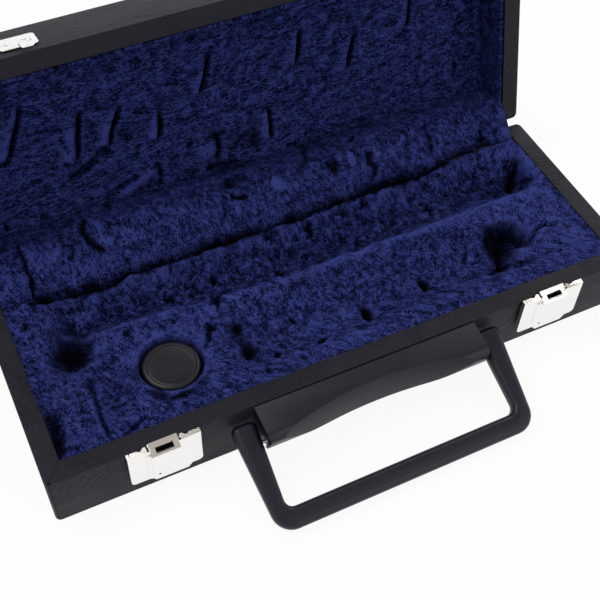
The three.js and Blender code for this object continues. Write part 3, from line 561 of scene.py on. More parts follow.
tufts = [  # x, y, size, how deep the pinch is
    (-70.5, 72, 3.8, 3.6), (-57.5, 75, 4.8, 5.4), (-48.5, 61, 4.2, 4.8), (-46, 73, 3.2, 3.2),
    (-9.5, 88, 3.2, 4.6), (-14, 64, 3.2, 3.6), (11.5, 85, 4.4, 5.0), (32, 86, 3.6, 3.8), (45, 89, 4.2, 4.4),
    (74.5, 71, 4.4, 5.0), (3, 69, 2.8, 2.6), (30, 65, 2.8, 2.2), (104, 93, 3.0, 2.0), (-32, 85, 2.6, 1.8),
    (-88, 84, 3.2, 2.2), (58, 56, 3.0, 1.6), (88, 55, 2.8, 1.8), (-77, 88, 3.0, 2.0), (60, 17, 3.0, 1.8),
    (30, 14, 3.0, 1.8), (118, 20, 3.0, 1.6), (-92, 51, 3.0, 1.8), (22, 76, 2.8, 2.0), (-35, 58, 3.0, 1.6),
    (96, 84, 3.0, 1.6),
]
paintedShade = [  # painted shade in pits, folds and hollows, and a painted shadow round the pot
    (-121.5, 57, 8.4, 6.4, 0, 1.0), (-119, 61, 9.5, 7.5, 20, 0.75), (-123.5, 70, 3.6, 9, 0, 0.5),
    (-126.5, 95, 2.4, 2.0, 0, 1.0), (-134, 82.5, 1.7, 2.1, 0, 0.6), (-139, 77, 1.6, 1.8, 0, 0.5),
    (-100, 76, 2.4, 6, 0, 0.22), (-112, 90, 9, 2.2, 0, 0.35), (-93, 59.6, 2.4, 3, 0, 0.55),
    (-70.5, 71.8, 4.0, 1.1, -25, 0.9), (-57.5, 74, 2.6, 2.1, 0, 0.8), (-48.5, 61, 2.5, 2.6, 20, 0.85),
    (-46, 73, 1.3, 3.6, 10, 0.7), (-9.5, 87.5, 1.4, 3.1, 0, 0.9), (-15, 64.5, 1.2, 2.3, 0, 0.7),
    (-11.5, 62.5, 1.3, 2.0, 0, 0.6), (-14, 76, 0.8, 4.2, -12, 0.4), (11.5, 84, 1.8, 4.8, -12, 0.9),
    (3, 69, 1.0, 1.7, 0, 0.6), (32, 86, 1.5, 3.1, 15, 0.7), (31, 62.5, 1, 1.7, 0, 0.5),
    (44.5, 88, 1.3, 5.6, -14, 0.75), (47, 93.5, 1.7, 3.0, 0, 0.6), (41, 76, 0.8, 3.2, -30, 0.4),
    (74.5, 70.5, 2.6, 1.3, -20, 0.75), (71, 74, 1, 1.7, 0, 0.45), (117.5, 75.5, 2.8, 1.7, 0, 0.45),
    (128, 73.5, 12.5, 1.9, 55.6, 0.95), (131.5, 67.5, 3.4, 2.2, 0, 0.8), (-55.5, 48, 1.8, 2.3, 0, 0.7),
    (-52.5, 33, 1.0, 2.3, 0, 0.6), (-47, 27, 4.2, 4.8, 0, 0.95), (-47, 41.5, 3.6, 4, 0, 0.65),
    (-47.5, 35, 3.2, 8, 0, 0.6), (-35, 20.5, 1.9, 1.1, 0, 0.6), (-21, 36, 1.0, 2.5, 15, 0.75),
    (-14, 19, 2.9, 1.0, 0, 0.75), (-25, 15, 1.1, 1.9, 0, 0.5), (-42, 15, 1.3, 1.5, 0, 0.5),
    (-62, 14.5, 1.7, 1.4, 30, 0.5), (12.5, 24, 2.9, 4.4, -12, 1.0), (46.6, 29, 2.4, 3.6, 0, 1.0),
    (49, 25.2, 1.8, 1.2, 0, 0.6), (14, 17, 2.2, 1.2, 30, 0.3), (88.4, 36, 15, 3.0, 71.5, 1.0),
    (98, 39, 10, 9, 0, 0.72), (92, 31, 7, 8, 0, 0.85), (86, 22, 7, 1.5, 0, 0.9), (109, 32, 5, 1.3, 35, 0.6),
    (118, 37.4, 5, 0.9, 10, 0.5), (125, 35, 1.0, 2.4, 0, 0.35), (74.5, 36, 5.4, 1.0, 45, 0.45),
    (-140, 24, 3.4, 14, 0, 0.75), (-141, 15, 2.6, 6, 0, 1.0), (-118.3, 20, 0.8, 9, 0, 0.7),
    (-117.4, 36, 0.8, 8, 0, 0.4), (-107, 12.4, 6, 0.8, 25, 0.45), (-124, 34, 20, 32, 0, 0.14),
    (-97.5, 36, 2.6, 5, 0, 0.6), (-91.5, 22.5, 6, 2.6, -45, 0.8), (-82, 18.4, 8, 2.0, 0, 0.9),
    (-71.5, 21, 5, 2.6, 40, 0.6),
]
paintedHighlights = [  # painted highlights where it stands up
    (-57.5, 78, 5, 2.2, 0, 0.5), (-84, 65.4, 15, 1.4, 0, 0.4), (-52, 56, 9, 3, 0, 0.3),
    (-77, 94, 1.6, 1.8, 0, 0.9), (-8, 91.5, 2.2, 1.8, 0, 0.7), (-100, 84, 2.4, 2, 0, 0.5),
    (104, 92.5, 2.4, 2, 0, 0.7), (87, 55, 4.5, 2.4, 0, 0.6), (-4, 27, 13, 6, 0, 0.35),
    (-66, 86, 10, 3.4, 0, 0.35), (62, 60.6, 60, 1.5, 0.3, 0.5), (127, 30, 16, 24, 0, 0.35),
    (60, 86, 24, 5, 0, 0.25), (98, 25.5, 4, 3.4, 0, 0.45), (4, 14, 12, 3, 0, 0.3), (138, 80, 3, 16, 0, 0.5),
    (118, 55, 24, 9, 0, 0.35), (130, 14, 10, 6, 0, 0.3),
]
crevice = {"left": -128.5, "right": 129.5, "fade": 4, "back": 96.4}  # between the tray and the hinge strip
backLine = [  # its line across the case
    (-142, 97.0), (-129, 96.6), (-126.5, 95.4), (-120, 93.6), (-114, 93.0), (-103, 91.8), (-95, 91.5),
    (-89, 91.8), (-84, 92.6), (-79.6, 94.0), (-73, 93.0), (-60, 93.2), (-50, 93.0), (-40, 93.3), (-30, 93.0),
    (-21, 93.2), (-10.4, 92.8), (0, 93.4), (8, 93.2), (15, 93.6), (22, 94.1), (32, 94.6), (45, 94.8),
    (60, 94.9), (75, 95.1), (88, 95.3), (96, 95.9), (102, 97.2), (110, 97.8), (117, 97.6), (122, 98.8),
    (126, 98.6), (129, 97.6), (142, 97.0),
]
potPlace = {"x": -80.5, "y": 36.6, "radius": 14.1, "slope": 0.9, "low": 12.2}
paintedHighlightGain = 1.2  # how strongly the painted highlight marks show on all three pieces


def lineAt(x, points):
    return np.interp(x, [p[0] for p in points], [p[1] for p in points])


def tuftMark(x, y, cx, cy, size, depth, seed):  # pile pinched into a point, with petals raised round it
    dx, dy = x - cx, y - cy
    far, angle = np.hypot(dx, dy) / size, np.arctan2(dy, dx)
    petals = 0.5 + 0.5 * np.cos(5 * angle + seed * 1.7 + 2.2 * far)
    pinch = -depth * np.exp(-(far / 0.42) ** 2)
    valley = -0.32 * depth * (1 - petals) * np.exp(-((far - 0.75) / 0.45) ** 2)
    return pinch + valley + 0.28 * depth * petals * np.exp(-((far - 1.0) / 0.5) ** 2)


def trayHeight(x, y):  # the tray's height, and where each point shows at the rim's level
    wx = x + 1.5 * hills(x, y, 17, 3) + 0.6 * hills(x, y, 5, 8)
    wy = y + 1.0 * hills(x, y, 17, 5) + 0.6 * hills(x, y, 5, 9)
    rear = rearTrough
    run = np.array(rear["run"]).T
    middle, half, deep = (np.interp(x, run[0], values) for values in run[1:])
    across = np.clip(np.abs(wy - middle) / half, 0, 1)
    ends = np.minimum(wx - rear["left"], rear["right"] - wx) / rear["end"]
    depth = deep * (1 - across ** 2) ** 1.1 * ease(ends) ** 0.7
    for left, right, middle, half, deep, end in troughs:
        across = np.clip(np.abs(wy - middle) / half, 0, 1)
        ends = np.minimum(wx - left, right - wx) / end
        depth = np.maximum(depth, deep * (1 - across ** 2) ** 1.0 * ease(ends) ** 0.8)
    for mark in hollows:
        depth = np.maximum(depth, hollow(wx, wy, *mark))
    depth = np.maximum(depth, pocket(x, y, ringPocket["outline"], ringPocket["depth"], ringPocket["slope"]))
    sx, sy = x - sightline[0] * depth, y - sightline[1] * depth
    bx, by = sx + 0.5 * hills(x, y, 5, 8), sy + 0.5 * hills(x, y, 5, 9)
    inHollow = ease(depth / 6)
    for mark in pits:
        depth = depth + hollow(bx, by, *mark, 0.9)
    z = tray["top"] - depth + hollow(bx, by, *tongue)
    for k, (cx, cy, size, deep) in enumerate(tufts):
        z = z + tuftMark(bx, by, cx, cy, size, deep, k)
    for line, width, deep in trayCreases:
        z = z - crease(sx, sy, line, width, deep)
    z = z + crease(x, y, *frontRidge)
    rough = 0.75 * hills(x, y, 13, 21) + 0.5 * np.abs(smoothNoise(x, y, 6.5, 31))
    rough = rough + 0.5 * hills(x, y, 3.4, 41, 2) + 0.26 * smoothNoise(x, y, 1.5, 43)
    return z + rough * (0.8 + 0.4 * inHollow), bx, by


def finishPlush(piece, across, along, folds, raised, order, shape, light):  # gives lengths on the cloth, and writes its painted shade and highlights
    grid = raised[order].reshape(shape)
    # painted shade and highlights: darker below the blurred surface, lighter above it, with the painted
    # highlight marks added
    cavity = np.zeros(len(across))
    soft, wide = blurred(grid, 3), blurred(grid, 11)
    fine, broad = np.clip((grid - soft) / 0.5, -1, 1), np.clip((grid - wide) / 3.0, -1, 1)
    cavity[order] = (fine * 0.4 + broad * 0.5).ravel()
    for name, values in (("cavity", cavity + light), ("fold", folds)):
        mark = piece.data.attributes.new(name, "FLOAT", "POINT")
        mark.data.foreach_set("value", values.astype(np.float32))
    lengths = []
    for axis, values in ((1, across), (0, along)):
        flat = values[order].reshape(shape)
        rise, step = np.diff(soft, axis=axis), np.diff(flat, axis=axis)
        rise = np.clip(rise, -0.9 * np.abs(step), 0.9 * np.abs(step))
        extra = np.cumsum(np.hypot(rise, step) - np.abs(step), axis=axis)
        extra = np.concatenate([np.zeros_like(np.take(extra, [0], axis)), extra], axis=axis)
        run = np.zeros(len(across))
        run[order] = (flat + blurred(extra, 12, (1 - axis,))).ravel()
        lengths.append(run)
    return np.column_stack(lengths)


def pileCoordinates(piece, flat):  # uv in metres across the cloth
    mesh = piece.data
    for layer in list(mesh.uv_layers):
        mesh.uv_layers.remove(layer)
    layer = mesh.uv_layers.new(name="pile")
    corner = np.zeros(len(mesh.loops), int)
    mesh.loops.foreach_get("vertex_index", corner)
    layer.data.foreach_set("uv", (flat[corner] * mm).ravel())


def plushGrid(name, nx, ny):  # a flat grid of unit size, its points in rows
    bpy.ops.mesh.primitive_grid_add(x_subdivisions=nx, y_subdivisions=ny, size=1, location=(0, 0, 0))
    piece = named(name)
    points = readPoints(piece.data)
    order = np.lexsort((np.round(points[:, 0], 6), np.round(points[:, 1], 6)))
    return piece, points[:, 0] + 0.5, points[:, 1] + 0.5, order


def closePlush(piece, rings, flat, outward):  # carries the grid's edge back, ring by ring, and shuts it
    mesh = piece.data
    made = bmesh.new()
    made.from_mesh(mesh)
    made.verts.ensure_lookup_table()
    source = {v: v.index for v in made.verts}
    start = {v.index: v.co.copy() for v in made.verts}
    edges = [e for e in made.edges if e.is_boundary]
    for ring in rings:
        before = {}
        grown = bmesh.ops.extrude_edge_only(made, edges=edges)["geom"]
        fresh = [g for g in grown if isinstance(g, bmesh.types.BMVert)]
        for v in fresh:
            for e in v.link_edges:
                other = e.other_vert(v)
                if other in source and other not in fresh:
                    before[v] = source[other]
        for v in fresh:
            source[v] = before[v]
            v.co = ring(before[v])
        edges = [g for g in grown if isinstance(g, bmesh.types.BMEdge) and g.is_boundary]
    bmesh.ops.holes_fill(made, edges=edges, sides=0)
    bmesh.ops.recalc_face_normals(made, faces=made.faces)
    made.verts.index_update()
    owner = np.array([source[v] for v in made.verts])
    beyond = np.array([(v.co - start[source[v]]).length for v in made.verts]) / mm
    made.to_mesh(mesh)
    made.free()
    mesh.update()
    pileCoordinates(piece, flat[owner] + outward[owner] * beyond[:, None])


def outwardOf(u, v):  # which way each edge point of a unit grid looks
    return np.column_stack([(u > 0.9999) * 1.0 - (u < 0.0001), (v > 0.9999) * 1.0 - (v < 0.0001)])


def midSpan(x):  # 1 along the crevice, 0 at the end walls
    left, right, fade = crevice["left"], crevice["right"], crevice["fade"]
    return ease((x - left) / fade) * ease((right - x) / fade)


def makeTrayPlush():
    size = tray
    nx, ny = int(2 * size["halfX"] / size["step"]), int((size["back"] - size["front"]) / size["step"])
    piece, u, v, order = plushGrid("base_plush", nx, ny)
    ragged = 0.34 * smoothNoise(u * 282, v * 0, 4.2, 61) + 0.34 * smoothNoise(u * 282, v * 0 + 3, 1.5, 63)
    frontEdge = size["front"] - size["overRim"] * (0.6 + ragged)
    ragged = 0.3 * smoothNoise(v * 88, u * 4, 4.0, 62) + 0.3 * smoothNoise(v * 88, u * 4 + 9, 1.5, 64)
    sideEdge = size["halfX"] + size["overRim"] * (0.6 + ragged)
    x = (2 * u - 1) * sideEdge
    inMiddle = midSpan(x)
    tufted = 0.55 * smoothNoise(x, 0 * x, 2.6, 83) + 0.4 * smoothNoise(x, 0 * x, 1.3, 84)  # over the seam
    y = frontEdge + v * (lineAt(x, backLine) - 0.5 - frontEdge + tufted * inMiddle)
    z, seenX, seenY = trayHeight(x, y)
    fromSide = size["halfX"] + 0.9 - np.abs(x)
    fromFront, fromBack = y - 8.1, lineAt(x, backLine) - y
    lip = 0.6 + 0.35 * smoothNoise(x, y, 5, 71)
    z = z - 1.1 * (1 - ease(np.minimum(fromSide, fromFront) / size["shoulder"])) * lip
    backDrop = 0.9 + 1.3 * ease((crevice["back"] - lineAt(x, backLine)) / 2)
    z = z - backDrop * inMiddle * (1 - ease(fromBack / 2.6)) ** 1.3
    farPot = np.hypot(x - potPlace["x"], y - potPlace["y"]) - potPlace["radius"]
    sunk = potPlace["low"] + (z - potPlace["low"]) * ease(farPot / potPlace["slope"]) ** 0.55
    z = np.where(farPot < potPlace["slope"], sunk, z)
    onRim = (fromSide < 1.6) | (fromFront < 1.6) | (y > 96.6)
    z = np.where(onRim, np.clip(z, size["rimLow"], size["rimHigh"]), np.minimum(z, size["highest"]))
    z = np.maximum(z, size["floor"] + 3.5)
    seam = 2.2 + 1.3 * smoothNoise(x, 0 * x, 4.5, 81)  # the painted shade along the crevice wanders in width
    # painted shade along the crevice at the back, at the shade marks, and darker deeper in the tray
    folds = np.clip(0.8 + 0.5 * smoothNoise(x, 0 * x, 7, 82), 0, 1) * inMiddle * np.exp(-(fromBack / seam) ** 2)
    folds = np.maximum(folds, spots(seenX, seenY, paintedShade) + 0.25 * ease((25 - z) / 12))
    # painted shadow round the pot
    folds = np.maximum(folds, 0.4 * np.exp(-(farPot / 1.3) ** 2))
    writePoints(piece.data, np.column_stack([x * mm, frontFace + y * mm, z * mm]))
    cloth = finishPlush(piece, x, y, folds, z, order, (ny + 1, nx + 1), paintedHighlightGain * spots(seenX, seenY, paintedHighlights))
    side, front, back = (size[key] for key in ("halfX", "front", "back"))
    gap = size["sideIn"]

    def down(index, level):  # between lining and wall
        return at(np.clip(x[index], gap - side, side - gap), np.clip(y[index], front + gap, back - gap), level)

    def tuck(index):
        return down(index, min(z[index] - 1.0, 29.6))

    def drop(index):
        return down(index, size["floor"])

    closePlush(piece, [tuck, drop], cloth, outwardOf(u, v))
    return piece


basePlush = plush.on(makeTrayPlush())
smooth(basePlush, 180)
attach(basePlush, "base")
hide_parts("base_lining")
print("tray plush", len(basePlush.data.polygons))

# plush strip over the hinge line, up to the lid's corner

strip = {
    "step": 0.66, "halfX": 140.6, "mid": (112.5, 44.8), "end": (134.9, 38.4), "low": 30.9, "deep": 27.2,
    "raise": 1.1, "thick": 0.9, "overWeb": (-0.657, 0.754), "overWall": (0.275, 0.961), "pileTurn": 18,
}
stripRun = 20.55, 23.3  # its end runs on under the lid's pad
stripHollows = [(-12, 25, 8, 9, 10, 2.8), (35, 29, 9, 12, 0, 2.0), (37, 17, 4, 4, 0, 2.2)]
stripRaised = [(-86, 20, 3.0, 9, 2.0), (4.5, 17, 2.6, 5, 1.6), (47, 17, 2.4, 5, 1.4), (62, 14, 2.4, 4, 0.9)]
stripMarks = [  # creases pressed across it: line, width, depth
    ([(-124.6, -1), (-125, 3), (-124, 8), (-124.5, 13), (-124.3, 20), (-124.5, 30.5)], 1.0, 3.6),
    ([(-105.4, 29), (-105, 21), (-105.4, 16), (-103, 13.6), (-101, 17), (-102, 21)], 1.1, 1.3),
    ([(-90.6, 35), (-93, 27.5), (-94, 21.8), (-92.8, 18), (-90.4, 14.6), (-87, 11.2)], 1.3, 4.4),
    ([(-79, 25), (-83, 19.6)], 1.0, 1.4), ([(-15.6, 32), (-18, 26.5), (-19.6, 20.6)], 1.3, 4.2),
    ([(-20.6, 17.6), (-17.5, 16.2), (-14.5, 15.2), (-11.4, 15.2)], 1.0, 3.8),
    ([(31.5, 44), (27.5, 34), (25.8, 25)], 1.5, 3.0), ([(26.5, 28), (22.4, 21.4)], 0.9, 2.4),
    ([(33.2, 20), (37.2, 13.4), (39.4, 18.6)], 1.4, 3.6), ([(56.6, 33.5), (51.4, 27.4)], 1.1, 2.4),
    ([(60.4, 15.4), (57.2, 16.4), (55.6, 12), (58.6, 9.4), (57, 6), (54.4, 3.4)], 1.1, 3.0),
    ([(92.2, 23.5), (92.5, 14), (92.6, 6.6)], 0.9, 2.4), ([(96, 20), (96.4, 9)], 0.9, 1.2),
    ([(123.2, 2), (123.6, 6), (124, 10)], 1.1, 3.4), ([(131, 4), (134, 8)], 1.5, 1.6),
]
# painted shade marks on the strip
stripPaintedShade = [
    (-123.6, 8.4, 1.7, 2.4, 0, 0.95), (-117, 30, 6, 3, 20, 0.25), (-97.5, 36.5, 2.4, 4, 0, 0.5),
    (-77, 38.5, 1.8, 4, 0, 0.85), (-102.6, 17, 2.4, 3, 0, 0.3), (-90.6, 31, 1.0, 3.4, 10, 0.8),
    (-17.4, 24.4, 1.5, 4, 16, 0.95), (-13, 27, 5, 5, 0, 0.3), (-12, 39, 9, 5, 0, 0.5),
    (-50, 42, 4, 2.4, 30, 0.5), (30, 38, 3, 6, 0, 0.55), (38, 36, 4, 4.4, 0, 0.4), (37.2, 16, 2.0, 2.8, 0, 0.8),
    (52.6, 29.4, 1.6, 2.6, -35, 0.6), (47, 29.6, 1.2, 2, 0, 0.45), (57, 14.6, 2.0, 1.8, 0, 0.7),
    (58.6, 9.6, 1.7, 1.6, 0, 0.7), (94.4, 14, 2.4, 7, 0, 0.22), (122.6, 3.8, 4.4, 1.7, 0, 1.0),
    (123.8, 7.4, 0.9, 2.4, 0, 0.8), (132, 6.4, 2.6, 1.6, 0, 0.4), (110, 17, 2.4, 1.0, 0, 0.6),
    (10, 8, 3.4, 1.0, 0, 0.25), (27, 6, 4, 1.6, 0, 0.3), (116, 2.2, 6, 1.4, 0, 0.7),
    (-110, 1.6, 12, 1.6, 0, 0.4), (42, 41, 8, 3, 0, 0.3),
]
# painted highlight marks on the strip
stripPaintedHighlights = [
    (-83.4, 15.6, 1.9, 1.9, 0, 1.6), (-86.6, 23, 1.8, 6, 12, 0.6), (4.6, 16, 2.6, 2.6, 0, 1.3),
    (46.6, 16.6, 1.8, 3.4, 0, 1.3), (62, 15, 1.5, 0.9, 0, 1.6), (-76.4, 2.4, 1.6, 2.2, 0, 1.0),
    (-131, 9, 5, 6, 0, 0.3), (-112, 17, 10, 4.6, 0, 0.25), (-96, 8, 14, 4, 0, 0.2), (-58, 21, 16, 3, 0, 0.25),
    (98, 14, 1.6, 4, 0, 0.4), (138, 4, 4, 5, 0, 0.6), (-8, 2.4, 2, 1.6, 0, 0.8),
]


def stripHeight(x, s):  # how far the pile stands off the strip, s along it from the crevice
    h = 0.8 * hills(x, s, 16, 121) + 0.28 * hills(x, s, 3.6, 131, 2) + 0.14 * smoothNoise(x, s, 1.5, 133)
    h = h + strip["raise"] * ease((s - 0.5) / 4)
    fold = 0 * x
    bx, bs = x + 0.4 * hills(x, s, 5, 124), s + 0.4 * hills(x, s, 5, 126)
    for line, width, depth in stripMarks:
        pressed = crease(bx, bs, line, width, depth, 0.12)
        h = h - pressed
        # painted shade in the pressed creases
        fold = np.maximum(fold, pressed / 3.6)
    for mark in stripHollows:
        h = h - hollow(x, s, *mark)
    for cx, cs, wide, long, rise in stripRaised:
        h = h + rise * np.exp(-((x - cx) / wide) ** 2 - ((s - cs) / long) ** 2)
    h = h - 2.0 * ease((s - 33) / 8) * ease((x + 78) / 34)  # sinks towards the lid's pad
    return h, np.maximum(fold, spots(bx, bs, stripPaintedShade)), paintedHighlightGain * spots(bx, bs, stripPaintedHighlights)


def makeStrip():
    size = strip
    total = sum(stripRun)
    nx, ny = int(2 * size["halfX"] / size["step"]), int(total / size["step"])
    piece, u, v, order = plushGrid("hinge_plush", nx, ny)
    x, s = (2 * u - 1) * size["halfX"], v * total
    h, fold, light = stripHeight(x, s)
    inMiddle = midSpan(x)
    line = lineAt(x, backLine)
    inside = ease((crevice["back"] - line) / 1.6) * inMiddle
    startY, startZ = line + 0.2, size["low"] - inside * (size["low"] - size["deep"])
    first = np.clip(s / stripRun[0], 0, 1)
    bowed = first ** (1 - 0.35 * inside)  # leaves the crevice steeply
    y = startY + (size["mid"][0] - startY) * first
    z = startZ + (size["mid"][1] - startZ) * bowed
    second = np.clip((s - stripRun[0]) / stripRun[1], 0, 1)
    y = np.where(second > 0, size["mid"][0] + (size["end"][0] - size["mid"][0]) * second, y)
    z = np.where(second > 0, size["mid"][1] + (size["end"][1] - size["mid"][1]) * second, z)
    bend = ease((s - stripRun[0] + 4) / 8)  # it turns from facing off the web to facing off the wall
    fy, fz = (a * (1 - bend) + b * bend for a, b in zip(size["overWeb"], size["overWall"]))
    long = np.hypot(fy, fz)
    fy, fz = fy / long, fz / long
    h = h - 0.9 * np.exp(-((s - stripRun[0]) / 3.2) ** 2)  # rounded over the bend
    h = h - 1.2 * ease((s - total + 3.2) / 3.2) - 1.2 * (1 - ease(s / 1.6)) * inMiddle
    edge = 1 - ease((size["halfX"] - np.abs(x)) / 1.6)
    h = np.maximum(h - edge, -0.35)
    # painted shade along the crevice where the strip starts
    seam = 3.2 + 1.8 * smoothNoise(x, 0 * x, 4.5, 143)
    dark = np.clip(0.85 + 0.5 * smoothNoise(x, 0 * x, 7, 144), 0, 1)
    fold = np.maximum(fold, dark * inMiddle * np.exp(-(s / seam) ** 2))
    patchy = ease(0.3 + 1.4 * smoothNoise(x, s, 7, 141))
    fold = np.maximum(fold, 0.7 * np.exp(-((s - 41.6) / 1.4) ** 2) * patchy)  # painted shade where it meets the pad
    writePoints(piece.data, np.column_stack([x * mm, frontFace + (y + fy * h) * mm, (z + fz * h) * mm]))
    cloth = finishPlush(piece, x, 100 + s, fold, h, order, (ny + 1, nx + 1), light)
    turn = math.radians(size["pileTurn"])  # its pile leans flatter than the tray's
    c, k = math.cos(turn), math.sin(turn)
    cloth = np.column_stack([cloth[:, 0] * c - cloth[:, 1] * k, cloth[:, 0] * k + cloth[:, 1] * c])

    def tuck(index):
        return at(x[index], y[index] - fy[index] * size["thick"], z[index] - fz[index] * size["thick"])

    closePlush(piece, [tuck], cloth, outwardOf(u, v))
    return piece


hingePlush = makeStrip()
print("hinge strip", len(hingePlush.data.polygons))

# plush of the lid, shaped closed and then opened

lidPad = {
    "step": 0.66, "halfX": 140.8, "wallIn": 2.3, "front": 9.2, "back": 95.6, "face": 53.5, "ceiling": 58.2,
}
fingers = [  # x, y from, y to, half width, lean: ridges pressed by fingers, their right edge sharp
    (-88.0, 40, 68.5, 5.0, -0.25), (-68.3, 44, 64.5, 3.6, -0.45), (-46.2, 52, 68.5, 3.4, -0.28),
    (-114.3, 30, 57.5, 4.2, -0.46), (11.3, 66, 87.5, 3.0, -0.05), (-128.5, 22, 50, 3.6, -0.3),
    (30, 30, 52, 3.6, -0.2), (58, 40, 62, 4.2, -0.3), (92, 26, 48, 4.0, -0.2), (-20, 30, 52, 3.6, -0.4),
]
lidCreases = [  # line, width, depth
    ([(-67.5, 64.5), (-74, 68), (-82, 72), (-92, 78)], 2.4, 2.0),
    ([(-47.8, 79), (-45.8, 84), (-46.4, 90), (-48.4, 95)], 1.2, 2.4),
    ([(-71, 88.5), (-64, 86.6), (-57.5, 83)], 1.1, 2.2),
    ([(-15, 73), (-13.4, 78), (-13.8, 84), (-16.4, 90.4)], 1.3, 3.4),
    ([(-122, 57.2), (-117, 57.8), (-114, 55)], 0.9, 2.2), ([(-126.6, 87), (-125.2, 90), (-126, 93)], 0.9, 2.2),
    ([(-78, 97), (-75, 94)], 1.6, 2.2), ([(-24, 92.6), (-12, 94), (-4, 93)], 1.4, 2.2),
    ([(22, 93.4), (28, 94)], 1.4, 2.0), ([(-91.6, 64), (-91.8, 67.6), (-89, 67.8)], 0.8, 1.6),
    ([(-90.4, 50), (-90, 57), (-88.4, 61)], 1.0, 1.2),
]
lidRidge = [(-50, 82), (-55, 85), (-62, 89), (-72, 93.5)], 3.4, 2.6  # line, width, height
lidRaised = (-22, 83.5, 8.6, 7.6, 0, 2.2)
lidHollow = (0, 83, 11, 8, -12, 2.6)
# painted shade marks on the lid's pad
lidPaintedShade = [
    (0, 83, 9, 5, -12, 0.35), (5, 85, 3.4, 2.4, 30, 0.6), (-12.5, 74.4, 3.6, 1.8, 0, 0.7),
    (-59, 59, 3.6, 5, 0, 0.4), (-12, 93.6, 9, 1.6, 0, 0.7), (-77, 95.4, 3.4, 1.8, 0, 0.7),
    (25, 93.8, 3, 1.2, 0, 0.6), (-70, 88, 3, 1.4, -15, 0.6), (-105, 95, 12, 0.9, 0, 0.4),
    (-56, 95, 8, 0.9, 0, 0.3), (40, 94, 9, 1.2, 0, 0.4), (-14, 84, 1.2, 6, 4, 0.8),
]
# painted highlight marks on the lid's pad
lidPaintedHighlights = [
    (-87, 58, 3.4, 9, 12, 0.6), (-69, 57, 2.4, 6, 20, 0.6), (-46.5, 62, 2.6, 4, 10, 0.6),
    (-117.5, 50, 2.6, 7, 25, 0.6), (11, 80, 2.6, 6, 0, 0.6), (-22, 83, 6, 5.4, 0, 0.5),
    (-60, 88.6, 11, 2.4, -28, 0.7), (-52, 84, 3, 3, 0, 0.5), (-127.6, 90, 1.4, 2.4, 0, 0.7),
    (-90, 67, 1.4, 1.2, 0, 0.6),
]


def lidHeight(x, y):  # how far the pile stands into the lid
    wx = x + 0.6 * hills(x, y, 12, 203)
    wy = y + 0.6 * hills(x, y, 12, 205)
    h = 0.9 * hills(x, y, 22, 221) + 0.26 * hills(x, y, 3.8, 231, 2) + 0.12 * smoothNoise(x, y, 1.5, 233)
    fold = 0 * x
    for cx, low, high, half, lean in fingers:
        u = (wx - cx - lean * (wy - (low + high) / 2)) / half
        run = ease((wy - low) / 7) * ease((high - wy) / 4)
        ridge = np.where(u < 0, np.exp(-(u / 1.1) ** 2), np.exp(-(u / 0.75) ** 4))
        h = h + 2.9 * run * ridge
        groove = np.exp(-((u - 1.25) / (1.35 / half)) ** 2) * run
        h = h - 2.8 * groove
        # painted shade in the finger grooves
        fold = np.maximum(fold, groove)
    for line, width, depth in lidCreases:
        pressed = crease(wx, wy, line, width, depth, 0.14)
        h = h - pressed
        # painted shade in the pressed creases
        fold = np.maximum(fold, pressed / 3.4)
    h = h + crease(wx, wy, *lidRidge) + hollow(wx, wy, *lidRaised) - hollow(wx, wy, *lidHollow)
    return h, np.maximum(fold, spots(wx, wy, lidPaintedShade)), paintedHighlightGain * spots(wx, wy, lidPaintedHighlights)


def makeLidPlush():
    size = lidPad
    inX, inFront = size["halfX"] - size["wallIn"], size["front"] + size["wallIn"]
    nx, ny = int(2 * inX / size["step"]), int((size["back"] - inFront) / size["step"])
    piece, u, v, order = plushGrid("lid_plush", nx, ny)
    x, y = (2 * u - 1) * inX, inFront + v * (size["back"] - inFront)
    h, fold, light = lidHeight(x, y)
    edge = np.minimum(inX - np.abs(x), y - inFront)
    h = h + 2.4 * (1 - ease(edge / 7)) ** 1.5
    h = np.maximum(h, -3.6)
    # painted shade along the pad's edge, against the walls
    fold = fold + 0.3 * (1 - ease(edge / 1.6))
    z = size["face"] - h
    writePoints(piece.data, np.column_stack([x * mm, frontFace + y * mm, z * mm]))
    cloth = finishPlush(piece, x, y, fold, h, order, (ny + 1, nx + 1), light) * (1, -1) + (0, 300)
    onBack = y > size["back"] - 0.01
    wave = smoothNoise(x + y, y - x, 5, 261)

    def wall(low, out):  # one ring of the wall lining, from the pad towards the rim
        def ring(index):
            if onBack[index]:
                return at(x[index], y[index] + out * 0.12, z[index] + 0.1 + 0.02 * out)
            puff = 0.35 * wave[index] + 0.3
            side = out - puff if abs(x[index]) > inX - 0.01 else 0
            head = out - puff if y[index] < inFront + 0.01 else 0
            return at(x[index] + math.copysign(side, x[index]), y[index] - head, low)
        return ring

    def last(index):
        side = size["wallIn"] if abs(x[index]) > inX - 0.01 else 0
        head = size["wallIn"] if y[index] < inFront + 0.01 else 0
        return at(x[index] + math.copysign(side, x[index]), y[index] - head, size["ceiling"])

    levels = np.linspace(50, 33.4, 18)
    rings = [wall(low, 0.25 * math.sin(k * 0.9)) for k, low in enumerate(levels)]
    rings += [wall(32.6, 0.5), wall(32.25, 1.2), wall(32.5, 2.2)]
    closePlush(piece, rings + [last], cloth, outwardOf(u, v) * (1, -1))
    piece.data.transform(openLid)
    return piece


lidPlush = combedPlush.on(makeLidPlush())
smooth(lidPlush, 180)
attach(lidPlush, "lid")
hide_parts("lid_lining_panel", "lid_lining_front", "lid_lining_left", "lid_lining_right")
plush.on(hingePlush)
smooth(hingePlush, 180)
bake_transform(hingePlush)
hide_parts("base_hinge_lining", "lid_hinge_lining", "lid_lining_back")
print("lid plush", len(lidPlush.data.polygons))

# metal fittings and the bracket, taken from the frame's solids with their edges eased

